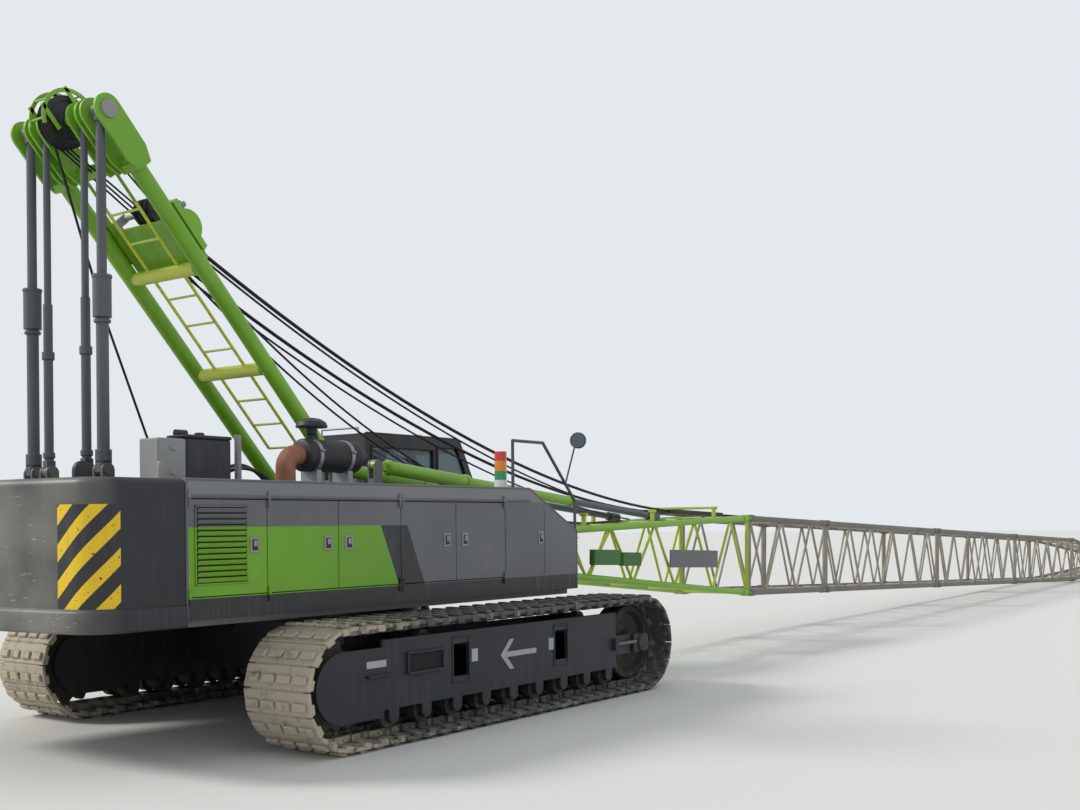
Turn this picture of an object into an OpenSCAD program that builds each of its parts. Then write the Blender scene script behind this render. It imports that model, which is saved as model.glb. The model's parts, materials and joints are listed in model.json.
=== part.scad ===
// Crawler crane with a lattice boom, parked on its tracks with the boom laid out in front.
// X points forward, Y to the left and Z up. The origin is the slewing axis, on the ground.
// "Right" is the -Y side, "left" the +Y side, where the cab is.

/* [Tracks] */
// Width over both tracks
track_span = 4374; // [4200:1:4600]
// Width of a track shoe
shoe_w = 760; // [700:1:800]
// Length over one track loop
track_len = 5708; // [5500:1:6100]
// Height of the track loop, shoe bars included
track_h = 1072; // [1040:1:1120]
// Thickness of the chain with its shoe plates
chain_t = 95; // [80:1:105]
// Height of the bar that stands on each shoe
bar_h = 28; // [15:1:40]
// Number of shoes in a loop
shoe_n = 60; // [54:1:66]
// Depth of the groove between two shoes
shoe_gap_d = 30; // [10:1:45]

/* [Track frames] */
// Width over a track frame's side plates
frame_w = 486; // [440:1:540]
// Thickness of a side plate
frame_plate_t = 30; // [20:1:40]
// Height of the top edge of the side plates
frame_top_z = 900; // [880:1:915]
// Height of the lower edge of the side plates
frame_low_z = 300; // [280:1:320]
// Lower rollers on each side
roller_n = 9; // [7:1:9]
// Distance between two lower rollers
roller_pitch = 426; // [380:1:430]
// Radius of a lower roller
roller_r = 109; // [90:1:112]
// Radius of an upper roller
carrier_r = 70; // [50:1:75]
// Distance of each upper roller from the middle
carrier_x = 1250; // [1100:1:1350]
// Radius of the side plate's end at the drive wheel
drive_cover_r = 300; // [260:1:320]
// Half height of the fork that holds the front wheel
fork_h = 105; // [90:1:120]

/* [Carbody] */
// Length of the middle box
carbody_len = 1900; // [1800:1:2100]
// Width of the middle box
carbody_w = 1800; // [1600:1:2000]
// Height of the carbody's underside
carbody_z0 = 430; // [400:1:440]
// Height of the carbody's top plate
carbody_z1 = 900; // [880:1:920]
// Wall of the welded boxes
box_wall = 40; // [25:1:45]
// Distance of each cross beam from the slewing axis
beam_x = 800; // [760:1:840]
// Width of a cross beam
beam_w = 300; // [260:1:330]
// Height of a cross beam
beam_h = 380; // [340:1:400]
// Radius of the slewing ring
ring_r = 640; // [600:1:680]
// Width of the slewing ring's section
ring_w = 140; // [110:1:160]

/* [Deck] */
// Height of the deck's underside
deck_z0 = 1100; // [1095:1:1110]
// Height of the deck's top, where the hoods stand
deck_z1 = 1158; // [1150:1:1170]
// Gap in the slewing ring
slew_gap = 0.5; // [0.3:0.1:0.9]
// Rear edge of the hoods, in front of the counterweight
hood_x0 = -3525; // [-3560:1:-3500]
// Front edge of the right hood
hood_x1 = 1776; // [1740:1:1800]
// Half width over the hoods
body_y = 1600; // [1580:1:1620]
// Distance of the hoods' inner walls from the middle
hood_in_y = 750; // [730:1:770]
// Half distance between the deck's two carrying beams
web_y = 500; // [490:1:505]
// Gap between the two plates of a carrying beam
web_gap = 120; // [110:1:125]
// Thickness of a carrying beam's plate
web_t = 35; // [25:1:38]
// Height of the carrying beams
web_z1 = 1480; // [1450:1:1500]

/* [Hoods] */
// Height of the hoods' flat top
hood_z1 = 2250; // [2240:1:2270]
// Place where the right hood's top starts to slope
hood_slope_x = 920; // [880:1:960]
// Height of the right hood's nose
hood_nose_z = 1800; // [1760:1:1840]
// Wall of the hoods and their doors
hood_wall = 40; // [30:1:45]
// Lower edge of the doors
door_z0 = 1330; // [1325:1:1345]
// Upper edge of the doors
door_z1 = 2100; // [2080:1:2110]
// Gap round a door
door_gap = 8; // [6:1:9]
// Radius of a door hinge's knuckle
knuckle_r = 14; // [12:1:15]
// Length of a knuckle
knuckle_len = 60; // [50:1:70]

/* [Counterweight] */
// Rear face of the counterweight, in the middle
cw_x0 = -4450; // [-4480:1:-4430]
// Height of the counterweight's underside
cw_z0 = 1110; // [1105:1:1120]
// Radius of its rear corners
cw_corner_r = 280; // [240:1:320]
// Radius of the bow of its rear face
cw_bow_r = 9000; // [8500:1:12000]
// Height of the foot ledge's top
cw_ledge_z = 1275; // [1250:1:1300]
// Depth of the ledge
cw_ledge_d = 30; // [20:1:35]
// Radius of the hole in its lifting lugs
lug_hole_r = 32; // [28:1:36]
// Thickness of a lifting lug
lug_t = 40; // [36:1:46]

/* [Cab] */
// Rear wall of the cab
cab_x0 = 850; // [845:1:860]
// Front of the cab
cab_x1 = 2950; // [2900:1:3000]
// Inner side of the cab
cab_y0 = 730; // [725:1:740]
// Outer side of the cab
cab_y1 = 1640; // [1620:1:1660]
// Height of the cab's floor, underside
cab_z0 = 1200; // [1195:1:1210]
// Height of the cab's roof
cab_z1 = 2950; // [2900:1:3000]
// Wall of the cab
cab_wall = 50; // [45:1:55]
// Rear edge of the cab door
cab_door_x0 = 1000; // [990:1:1020]
// Front edge of the cab door
cab_door_x1 = 2050; // [2000:1:2100]
// Thickness of the window glass
glass_t = 8; // [6:1:10]

/* [Gantry] */
// Height of the gantry's foot pins
gantry_z = 1500; // [1490:1:1510]
// Distance of the gantry head's shaft behind the foot pins
head_back = 3480; // [3475:1:3490]
// Height of the gantry head's shaft
head_z = 5290; // [5250:1:5330]
// Radius of a leg's tube
leg_r = 75; // [70:1:80]
// Radius of the cross tubes
cross_r = 62; // [55:1:66]
// Radius of the head's rounded cheeks
cheek_r = 125; // [120:1:135]
// Thickness of a head cheek
cheek_t = 25; // [20:1:28]
// Length of the head's cheeks, from the shaft to the leg
cheek_len = 450; // [440:1:460]
// Radius of the head sheaves
sheave_r = 215; // [200:1:225]
// Radius of a ladder rail
rail_r = 15; // [12:1:15]
// Distance of the ladder's rails from the middle
ladder_y = 212; // [200:1:215]
// Distance between two rungs
rung_pitch = 300; // [280:1:320]

/* [Stays] */
// Height of the stays' foot pins
stay_z = 2350; // [2345:1:2360]
// Distance of the thick stays from the middle
stay_y = 500; // [495:1:505]
// Distance of the lift cylinders from the middle
jack_y = 270; // [266:1:274]
// Radius of a thick stay's lower tube
stay_r = 50; // [48:1:54]
// Radius of a thick stay's upper bar
stay_rod_r = 40; // [36:1:41]
// Radius of the collar at the lower tube's mouth
collar_r = 75; // [70:1:76]
// Length of that collar
collar_len = 350; // [300:1:360]
// Length of the lower tube, from the foot pin
stay_len = 1600; // [1580:1:1610]
// Radius of a lift cylinder
jack_r = 38.5; // [37:0.5:42]
// Radius of a lift cylinder's rod
jack_rod_r = 30; // [26:1:31]
// Length of a lift cylinder, from the foot pin
jack_len = 1440; // [1430:1:1460]
// Gap between a rod and its tube
slide_gap = 0.5; // [0.3:0.1:0.9]
// Half width of a thick stay's eyes
eye_w = 44; // [42:1:50]
// Half width of a lift cylinder's eyes
jack_eye_w = 33; // [32:1:38]
// Radius of the pins at the pivots
pin_r = 30; // [26:1:32]
// Radius of the eyes on those pins
eye_r = 60; // [55:1:64]

/* [Boom] */
// Distance of the boom's foot pins in front of the slewing axis
boom_x = 1200; // [1190:1:1215]
// Height of the boom's foot pins
boom_z = 1570; // [1560:1:1600]
// Height of the laid boom's lowest point over the ground
boom_low = 33; // [20:1:60]
// Length of the butt section
butt_len = 6800; // [6600:1:7000]
// Length of the short insert
insert_a_len = 3000; // [2900:1:3100]
// Length of each long insert
insert_b_len = 6000; // [5800:1:6020]
// Length of the tip section, to the head shaft
tip_len = 6200; // [6000:1:6250]
// Distance between the chords' centre lines, across
boom_w = 1180; // [1160:1:1190]
// Distance between the chords' centre lines, top to bottom
boom_d = 1160; // [1140:1:1180]
// The same at the foot, where the chords leave the foot plates
foot_d = 380; // [340:1:420]
// Length of a foot plate, from its pin
foot_len = 420; // [400:1:450]
// Length of the tip's straight part
tip_straight = 300; // [250:1:400]
// Radius of a chord
chord_r = 45; // [42:1:48]
// Radius of the lacing tubes
lace_r = 20; // [16:1:24]
// Radius of the end frames' tubes
end_r = 28; // [24:1:32]
// Distance between the chords at the boom head, top to bottom
head_d = 420; // [380:1:460]
// Distance between the chords at the boom head, across
head_w = 560; // [520:1:600]
// Radius of the boom head's sheaves
boom_sheave_r = 290; // [260:1:300]
// Radius of the pendant ropes
pendant_r = 18; // [14:1:20]

/* [Backstops] */
// Distance of the backstops' front pins from the boom's foot, along the boom
backstop_s = 4395; // [4350:1:4440]
// Height of those pins over the boom's centre line
backstop_v = 530; // [520:1:540]
// Distance of the backstops' rear pins behind the slewing axis
backstop_back = 100; // [90:1:110]
// Height of those pins
backstop_z = 2505; // [2490:1:2515]
// Distance of the backstops from the middle
backstop_y = 330; // [328:1:332]
// Radius of a backstop's rear tube
backstop_r = 74; // [68:1:75]
// Length of that tube, from its pin
backstop_tube_len = 1500; // [1400:1:1600]
// Radius of its middle tube
backstop_mid_r = 60; // [56:1:62]
// Length of both tubes, from the rear pin
backstop_mid_len = 3630; // [3560:1:3650]
// Radius of its rod
backstop_rod_r = 44; // [40:1:46]
// Half width of its eyes
backstop_eye_w = 30; // [27:1:34]

/* [Hidden] */
$fn = 48;
eps = 1;
green = "yellowgreen";
grey = "dimgray";
dark = "#2b2f33";

// Tracks: the loop runs round two end circles that lie wheel_x away from the middle
end_r_track = track_h / 2;
wheel_x = track_len / 2 - end_r_track;
plate_r = end_r_track - bar_h;
inner_r = plate_r - chain_t;
rim_r = inner_r - slide_gap;
track_y = track_span / 2 - shoe_w / 2;
roller_z = end_r_track - inner_r + slide_gap + roller_r;
carrier_z = end_r_track + inner_r - slide_gap - carrier_r;
frame_in = frame_w - 2 * frame_plate_t;
frame_box_x0 = -wheel_x + rim_r + 60;
frame_box_x1 = wheel_x - rim_r - 60;
frame_box_z0 = roller_z + roller_r + 20;
frame_box_z1 = carrier_z - carrier_r - 18;
beam_z0 = (frame_box_z0 + frame_box_z1) / 2 - beam_h / 2 + 60;
frame_in_y = track_y - frame_w / 2;

// Hoods: one row per door of the right hood: rear edge, front edge, hinge at the rear (1) or front (-1)
DX0 = 0;
DX1 = 1;
DH = 2;
door_rows = [[-3515, -2715, 1], [-2715, -1905, 1], [-1905, -1105, -1], [-1105, -314, 1], [-314, 467, -1]];
left_rows = [[-3300, -2150, 1], [-2150, -1000, -1]];
hood_left_x1 = 740;
knuckle_in = 13;
// Depth behind a door that its hinged edge sweeps as it opens
door_sweep = 7;
knuckle_out = 10;

// Gantry: its legs lean back from the foot pins to the head shaft
leg_len = norm([head_back, head_z - gantry_z]);
leg_a = atan2(head_z - gantry_z, head_back);
leg_x0 = 260;
leg_x1 = leg_len - cheek_len;
cheek_gap = 170;
cross_at = [2520, 3637];
bridle_at = 4000;
bridle_len = 480;
ladder_x0 = 1580;
ladder_x1 = 4400;
stay_top = head_z - stay_z;
// Lower ends of the stays' bars, which run into their tubes as the gantry folds
stay_rod_z0 = 1350;
jack_rod_z0 = 1340;

// Boom: stations along it, from its foot pins
insert_a_s = butt_len;
long_1_s = insert_a_s + insert_a_len;
long_2_s = long_1_s + insert_b_len;
long_3_s = long_2_s + insert_b_len;
tip_s = long_3_s + insert_b_len;
boom_len = tip_s + tip_len;
tip_bend = tip_s + tip_straight;
boom_dip = asin((boom_z - boom_d / 2 - chord_r - boom_low) / tip_bend);
foot_mid = pin_r * 1.5;

// Stadium-shaped loop: the point at distance s along it, off outside of the shoe plates
loop_len = 4 * wheel_x + 2 * PI * plate_r;
function arc_pt(cx, a, r) = [cx + r * cos(a), end_r_track + r * sin(a)];
function loop_pt(s, off) =
    s < 2 * wheel_x ? [wheel_x - s, end_r_track + plate_r + off]
    : s < 2 * wheel_x + PI * plate_r
        ? arc_pt(-wheel_x, 90 + (s - 2 * wheel_x) / plate_r * 180 / PI, plate_r + off)
    : s < 4 * wheel_x + PI * plate_r
        ? [-wheel_x + s - 2 * wheel_x - PI * plate_r, end_r_track - plate_r - off]
    : arc_pt(wheel_x, 270 + (s - 4 * wheel_x - PI * plate_r) / plate_r * 180 / PI, plate_r + off);
shoe_pitch = loop_len / shoe_n;
// Profile of one shoe along the loop: share of the pitch, height over the plate
shoe_profile = [[0, -shoe_gap_d], [0.06, 0], [0.12, bar_h], [0.3, bar_h], [0.38, 0], [0.94, 0]];

module both() {
    children();
    mirror([0, 1, 0]) children();
}
module tube_y(r, len) {
    rotate([90, 0, 0]) cylinder(r = r, h = len, center = true);
}
module tube_between(a, b, r, sides = 8) {
    d = b - a;
    translate(a) rotate([0, acos(d.z / norm(d)), atan2(d.y, d.x)])
        cylinder(r = r, h = norm(d), $fn = sides);
}
// Plate in the XZ plane, t thick, its middle at y
module plate_y(y, t) {
    translate([0, y + t / 2, 0]) rotate([90, 0, 0]) linear_extrude(t) children();
}
module box_from(a, b) {
    translate(a) cube(b - a);
}
module along_boom() {
    translate([boom_x, 0, boom_z]) rotate([0, boom_dip, 0]) children();
}
// Local X runs up the gantry's legs, local Z points to their front side
module along_gantry() {
    translate([0, 0, gantry_z]) rotate([0, leg_a, 0]) mirror([1, 0, 0]) children();
}

module track(side) {
    color("#6a6660")
    translate([0, side * track_y, 0]) difference() {
        plate_y(0, shoe_w) polygon([for (i = [0:shoe_n - 1], p = shoe_profile)
            loop_pt((i + p[0]) * shoe_pitch, p[1])]);
        for (x = [-wheel_x, wheel_x]) translate([x, 0, end_r_track])
            tube_y(inner_r, shoe_w + 2 * eps);
        box_from([-wheel_x, -shoe_w / 2 - eps, end_r_track - inner_r],
            [wheel_x, shoe_w / 2 + eps, end_r_track + inner_r]);
    }
}

module frame_plate_shape() {
    translate([frame_box_x0, frame_low_z])
        square([frame_box_x1 - frame_box_x0, frame_top_z - frame_low_z]);
    for (i = [0:roller_n - 1]) translate([(i - (roller_n - 1) / 2) * roller_pitch, 0]) {
        translate([0, roller_z]) circle(r = 62);
        translate([-62, roller_z]) square([124, frame_low_z - roller_z + 20]);
    }
    translate([-wheel_x, end_r_track]) circle(r = drive_cover_r);
    translate([-wheel_x, end_r_track - drive_cover_r])
        square([frame_box_x0 + wheel_x + 10, 2 * drive_cover_r]);
    translate([wheel_x, end_r_track]) circle(r = fork_h);
    translate([frame_box_x1 - 10, end_r_track - fork_h])
        square([wheel_x - frame_box_x1 + 10, 2 * fork_h]);
}
module track_frame(side) {
    inner_w = frame_in;
    color(grey) translate([0, side * track_y, 0]) difference() {
        union() {
            for (e = [-1, 1])
                plate_y(e * (frame_w - frame_plate_t) / 2, frame_plate_t) frame_plate_shape();
            box_from([frame_box_x0, -inner_w / 2 - eps, frame_box_z0],
                [frame_box_x1, inner_w / 2 + eps, frame_box_z1]);
        }
        box_from([frame_box_x0 + box_wall, -inner_w / 2, frame_box_z0 + box_wall],
            [frame_box_x1 - box_wall, inner_w / 2, frame_box_z1 - box_wall]);
        for (e = [-1, 1]) box_from(
            [e * beam_x - (beam_w - 2 * box_wall) / 2, -frame_w / 2 - eps, beam_z0 + box_wall],
            [e * beam_x + (beam_w - 2 * box_wall) / 2, frame_w / 2 + eps, beam_z0 + beam_h - box_wall]);
    }
}
module track_frame_left() track_frame(1);
module track_frame_right() track_frame(-1);
module track_left() track(1);
module track_right() track(-1);

module rollers() {
    color(dark) both() translate([0, track_y, 0]) {
        for (i = [0:roller_n - 1])
            translate([(i - (roller_n - 1) / 2) * roller_pitch, 0, roller_z]) tube_y(roller_r, frame_in);
        for (x = [-carrier_x, carrier_x]) translate([x, 0, carrier_z]) tube_y(carrier_r, frame_in);
    }
}
module track_wheels() {
    color(dark) both() {
        translate([wheel_x, track_y, end_r_track]) {
            difference() {
                tube_y(rim_r, idler_w);
                for (e = [-1, 1]) translate([0, e * (idler_w / 2 - 10), 0]) tube_y(rim_r - 70, 80);
            }
            tube_y(90, frame_in);
        }
        translate([-wheel_x, track_y, end_r_track]) {
            tube_y(rim_r, idler_w - 40);
            tube_y(220, frame_in);
        }
    }
}
idler_w = 240;

module carbody() {
    color(dark) difference() {
        union() {
            box_from([-carbody_len / 2, -carbody_w / 2, carbody_z0],
                [carbody_len / 2, carbody_w / 2, carbody_z1]);
            for (e = [-1, 1]) box_from([e * beam_x - beam_w / 2, -frame_in_y, beam_z0],
                [e * beam_x + beam_w / 2, frame_in_y, beam_z0 + beam_h]);
            translate([0, 0, carbody_z1 - eps]) cylinder(r = ring_r + 60, h = 40 + eps, $fn = 96);
            // Towing eye on the front face
            box_from([carbody_len / 2 - eps, -lug_r, tow_z - lug_t / 2],
                [carbody_len / 2 + tow_reach, lug_r, tow_z + lug_t / 2]);
            translate([carbody_len / 2 + tow_reach, 0, tow_z - lug_t / 2]) cylinder(r = lug_r, h = lug_t);
        }
        box_from([-carbody_len / 2 + box_wall, -carbody_w / 2 + box_wall, carbody_z0 - eps],
            [carbody_len / 2 - box_wall, carbody_w / 2 - box_wall, carbody_z1 - box_wall]);
        for (e = [-1, 1]) box_from([e * beam_x - beam_w / 2 + box_wall, -frame_in_y - eps, beam_z0 + box_wall],
            [e * beam_x + beam_w / 2 - box_wall, frame_in_y + eps, beam_z0 + beam_h - box_wall]);
        translate([carbody_len / 2 + tow_reach, 0, tow_z - lug_t / 2 - eps])
            cylinder(r = lug_hole_r, h = lug_t + 2 * eps);
    }
}
tow_z = carbody_z0 + 130;
lug_r = 70;
tow_reach = 90;
ring_z0 = carbody_z1 + 40;

module slew_ring() {
    color("gray") translate([0, 0, ring_z0]) difference() {
        cylinder(r = ring_r, h = deck_z0 - slew_gap - ring_z0, $fn = 96);
        translate([0, 0, -eps]) cylinder(r = ring_r - ring_w, h = 400, $fn = 96);
    }
}

// Carrying beams: along X from the rear wall to the boom's foot, with an ear at each pivot
EX = 0;
EZ = 1;
ER = 2;
ear_rows = [[0, gantry_z, 130], [boom_x, boom_z, 140]];
drum_rows = [[-2100, 1700, 290, 170], [-1050, 1640, 330, 210], [420, 1620, 330, 210]];
cw_front = hood_x0 - 10;
wall_t = 60;
web_x0 = -head_back - eye_r + wall_t;
web_x1 = boom_x + 180;
drum_len = 2 * (web_y - web_gap / 2 - web_t);
module web_shape(with_drums) {
    translate([web_x0, deck_z1]) square([web_x1 - web_x0, web_z1 - deck_z1]);
    for (e = concat(ear_rows, with_drums ? [for (d = drum_rows) [d[0], d[1], 140]] : [])) {
        translate([e[EX], e[EZ]]) circle(r = e[ER]);
        translate([e[EX] - e[ER], deck_z1]) square([2 * e[ER], e[EZ] - deck_z1]);
    }
}
// Foot brackets of the stays: a pair of ears and a pin through them for each bar
module stay_bracket(y, gap) {
    for (e = [-1, 1]) plate_y(y + e * (gap / 2 + 10), 20) {
        translate([-head_back, stay_z]) circle(r = eye_r);
        translate([-head_back - eye_r, hood_z1 - eps]) square([2 * eye_r, stay_z - hood_z1 + eps]);
    }
    translate([-head_back, y, stay_z]) tube_y(pin_r, gap + 40);
}
// Post of a backstop: a box column with a pair of ears and a pin on top
post_w = 2 * (backstop_eye_w + 21);
module backstop_post() {
    box_from([-backstop_back - eye_r, backstop_y - post_w / 2, deck_z1],
        [-backstop_back + eye_r, backstop_y + post_w / 2, backstop_z - 140]);
    for (e = [-1, 1]) plate_y(backstop_y + e * (backstop_eye_w + 11), 20) {
        translate([-backstop_back, backstop_z]) circle(r = eye_r);
        translate([-backstop_back - eye_r, backstop_z - 141]) square([2 * eye_r, 141]);
    }
    translate([-backstop_back, backstop_y, backstop_z]) tube_y(pin_r, 2 * backstop_eye_w + 40);
}
module deck() {
    color(grey) {
        box_from([cw_front, -body_y + 100, deck_z0], [hood_x1 - 60, body_y - 100, deck_z1]);
        box_from([cab_x0 - 60, cab_y0, deck_z0], [cab_x1 - 150, cab_y1 - 120, deck_z1]);
        for (x = [cab_x0 + 80, cab_x1 - 400], y = [cab_y0 + 100, cab_y1 - 260])
            box_from([x, y, deck_z1 - eps], [x + 120, y + 120, cab_z0]);
    }
}
module deck_webs() {
    color(grey) both() {
        for (e = [-1, 1]) plate_y(web_y + e * (web_gap + web_t) / 2, web_t) web_shape(e < 0);
        translate([0, web_y, gantry_z]) tube_y(foot_mid, web_gap + 2 * web_t);
        translate([boom_x, web_y, boom_z]) tube_y(foot_mid, web_gap + 2 * web_t);
    }
}
// What carries the bars' lower pins: the rear wall under the stays, and the backstops' posts
wall_y = stay_y + eye_w + 40;
wall_head = 60;
module deck_brackets() {
    color(grey) {
        both() {
            stay_bracket(stay_y, 2 * eye_w + 1);
            stay_bracket(jack_y, 2 * jack_eye_w + 1);
            backstop_post();
        }
        box_from([-head_back - eye_r, -wall_y, deck_z1], [-head_back - eye_r + wall_t, wall_y, hood_z1]);
        box_from([-head_back - eye_r, -wall_y, hood_z1 - wall_head], [-head_back + eye_r, wall_y, hood_z1]);
    }
}

module counterweight() {
    color(dark) difference() {
        union() {
            translate([0, 0, cw_ledge_z - eps]) linear_extrude(hood_z1 - cw_ledge_z + eps) cw_shape(0);
            translate([0, 0, cw_z0]) linear_extrude(cw_ledge_z - cw_z0) cw_shape(cw_ledge_d);
            for (e = [-1, 1]) plate_y(e * cw_lug_y, lug_t) {
                translate([cw_lug_x, cw_lug_z]) circle(r = 75);
                translate([cw_lug_x - 75, hood_z1 - eps]) square([150, cw_lug_z - hood_z1 + eps]);
            }
        }
        for (e = [-1, 1]) translate([cw_lug_x, e * cw_lug_y, cw_lug_z])
            tube_y(lug_hole_r, lug_t + 2 * eps);
    }
}
cw_lug_x = -3950;
cw_lug_y = 900;
cw_lug_z = hood_z1 + 70;
// Distance that the bowed rear face falls back at the corners
cw_bow = 60;
module cw_shape(inset) {
    x0 = cw_x0 + inset;
    y1 = body_y - inset;
    r = cw_corner_r;
    difference() {
        intersection() {
            union() {
                translate([x0 + cw_bow + r, -y1]) square([cw_front - x0 - cw_bow - r, 2 * y1]);
                translate([x0, -y1 + r]) square([cw_front - x0, 2 * (y1 - r)]);
                for (e = [-1, 1]) translate([x0 + cw_bow + r, e * (y1 - r)]) circle(r = r, $fn = 96);
            }
            translate([x0 + cw_bow_r, 0]) circle(r = cw_bow_r, $fn = 360);
        }
        translate([-head_back - eye_r - 60, -stay_y - 150]) square([400, 2 * stay_y + 300]);
    }
}

module hood_side(inset, z0) {
    x1 = hood_x1 - inset;
    z1 = hood_z1 - inset;
    polygon([[hood_x0 + inset, z0], [x1, z0], [x1, hood_nose_z - inset / 2],
        [hood_slope_x - inset / 2, z1], [hood_x0 + inset, z1]]);
}
// Knuckles of one hinge line: on the frame just above and below a door, or on the door
module knuckles(x, y, on_door) {
    g = slide_gap;
    h = knuckle_len;
    z_at = on_door ? [door_z0 + g, door_z1 - h - g] : [door_z0 - h, door_z1];
    for (z = z_at) translate([x, y, z]) cylinder(r = knuckle_r, h = h, $fn = 24);
}
function hinge_x(row) = row[DH] > 0 ? row[DX0] + knuckle_in + door_gap / 2
    : row[DX1] - knuckle_in - door_gap / 2;
module hood_right() {
    color(grey) {
        difference() {
            plate_y(-(body_y + hood_in_y) / 2, body_y - hood_in_y) hood_side(0, deck_z1);
            plate_y(-(body_y + hood_in_y) / 2, body_y - hood_in_y - 2 * hood_wall)
                hood_side(hood_wall, deck_z1 - eps);
            box_from([door_rows[0][DX0], -body_y - eps, door_z0],
                [door_rows[4][DX1], -body_y + hood_wall + door_sweep, door_z1]);
        }
        for (x = bulkhead_x) box_from([x - 15, -body_y + hood_wall + 10, deck_z1],
            [x + 15, -hood_in_y - hood_wall + eps, hood_z1 - hood_wall + eps]);
        for (row = door_rows) knuckles(hinge_x(row), -body_y - knuckle_out, false);
    }
}
bulkhead_x = [-3200, -700];
module hood_left() {
    color(grey) {
        difference() {
            box_from([hood_x0, hood_in_y, deck_z1], [hood_left_x1, body_y, hood_z1]);
            box_from([hood_x0 + hood_wall, hood_in_y + hood_wall, deck_z1 - eps],
                [hood_left_x1 - hood_wall, body_y - hood_wall, hood_z1 - hood_wall]);
            box_from([left_rows[0][DX0], body_y - hood_wall - eps, door_z0],
                [left_rows[1][DX1], body_y + eps, door_z1]);
        }
        for (row = left_rows) knuckles(hinge_x(row), body_y + knuckle_out, false);
    }
}
module hood_door(row, side) {
    g = door_gap / 2;
    color(row[DX1] < -1000 ? green : grey) {
        box_from([row[DX0] + g, min(side * body_y, side * (body_y - hood_wall)), door_z0 + door_gap],
            [row[DX1] - g, max(side * body_y, side * (body_y - hood_wall)), door_z1 - door_gap]);
        knuckles(hinge_x(row), side * (body_y + knuckle_out), true);
    }
}
module hood_door_1() hood_door(door_rows[0], -1);
module hood_door_2() hood_door(door_rows[1], -1);
module hood_door_3() hood_door(door_rows[2], -1);
module hood_door_4() hood_door(door_rows[3], -1);
module hood_door_5() hood_door(door_rows[4], -1);
module left_door_1() hood_door(left_rows[0], 1);
module left_door_2() hood_door(left_rows[1], 1);

module engine() {
    color("darkslategray") box_from([-2950, -1480, deck_z1], [-1000, -880, 2050]);
}

// Outline of the cab seen from the side, drawn smaller by inset
cab_foot_x = cab_x1 - 250;
module cab_side(inset) {
    i = inset;
    polygon([[cab_x0 + i, cab_z0 + i], [cab_foot_x - i * 0.8, cab_z0 + i], [cab_x1 - 60 - i, 1560],
        [cab_x1 - i, 1900], [cab_x1 - 90 - i, 2400], [cab_x1 - 380 - i * 0.8, cab_z1 - i],
        [cab_x0 + i, cab_z1 - i]]);
}
// Windows of the cab's sides, and the door's opening
module side_windows() {
    polygon([[cab_door_x1 + 80, 1760], [cab_x1 - 130, 1760], [cab_x1 - 110, 1920],
        [cab_x1 - 190, 2360], [cab_x1 - 440, 2840], [cab_door_x1 + 80, 2840]]);
}
module rear_side_window() {
    translate([cab_x0 + 110, 1900]) square([cab_door_x1 - cab_x0 - 110, 900]);
}
module cab_door_shape(g) {
    translate([cab_door_x0 + g, cab_z0 + 90 + g])
        square([cab_door_x1 - cab_door_x0 - 2 * g, cab_z1 - 90 - cab_z0 - 90 - 2 * g]);
}
cab_mid = (cab_y0 + cab_y1) / 2;
module cab_cut_front() {
    // Front window, roof window and rear window
    box_from([cab_x1 - 700, cab_y0 + 90, 1420], [cab_x1 + 50, cab_y1 - 90, cab_z1 - 160]);
    box_from([cab_x0 + 900, cab_y0 + 130, cab_z1 - 300], [cab_x1 - 520, cab_y1 - 130, cab_z1 + 50]);
    box_from([cab_x0 - 50, cab_y0 + 130, 2000], [cab_x0 + 300, cab_y1 - 130, cab_z1 - 200]);
}
module cab() {
    color(dark) {
        difference() {
            plate_y(cab_mid, cab_y1 - cab_y0) cab_side(0);
            plate_y(cab_mid, cab_y1 - cab_y0 - 2 * cab_wall) cab_side(cab_wall);
            cab_cut_front();
            plate_y(cab_y0, 4 * cab_wall) union() {
                side_windows();
                rear_side_window();
            }
            plate_y(cab_y1, 4 * cab_wall) union() {
                side_windows();
                cab_door_shape(0);
            }
        }
        cab_knuckles(false);
    }
}
cab_hinge_x = cab_door_x0 + knuckle_in + door_gap / 2;
// The cab's hinge stands out far enough for the frame's knuckles to clear the door's leaf
cab_knuckle_out = knuckle_r + slide_gap;
hinge_arm = 40;
module cab_knuckles(on_door) {
    zs = on_door ? [1500, 2500] : [1500 - knuckle_len - slide_gap, 2500 - knuckle_len - slide_gap];
    x = cab_hinge_x + (on_door ? 0 : -hinge_arm);
    // The frame's arm stays off the door's leaf, which reaches past the hinge
    x1 = on_door ? x + hinge_arm : cab_door_x0;
    for (z = zs) {
        translate([cab_hinge_x, cab_y1 + cab_knuckle_out, z])
            cylinder(r = knuckle_r, h = knuckle_len, $fn = 24);
        box_from([x, cab_y1 + slide_gap, z], [x + hinge_arm, cab_y1 + cab_knuckle_out, z + knuckle_len]);
        box_from([x, cab_y1 - eps, z], [x1, cab_y1 + cab_knuckle_out, z + knuckle_len]);
    }
}
module cab_door() {
    color(dark) {
        plate_y(cab_y1 - cab_wall / 2, cab_wall) difference() {
            cab_door_shape(door_gap);
            translate([cab_door_x0 + 90, 1620]) square([cab_door_x1 - cab_door_x0 - 180, 1100]);
        }
        cab_knuckles(true);
    }
}
module cab_glass() {
    color("lightsteelblue", 0.5) intersection() {
        difference() {
            plate_y(cab_mid, cab_y1 - cab_y0 - 2 * (cab_wall - glass_t) / 2) cab_side((cab_wall - glass_t) / 2);
            plate_y(cab_mid, cab_y1 - cab_y0 - cab_wall - glass_t) cab_side((cab_wall + glass_t) / 2);
        }
        union() {
            cab_cut_front();
            plate_y(cab_y0, 4 * cab_wall) union() {
                side_windows();
                rear_side_window();
            }
            plate_y(cab_y1, 4 * cab_wall) side_windows();
        }
    }
}
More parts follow.
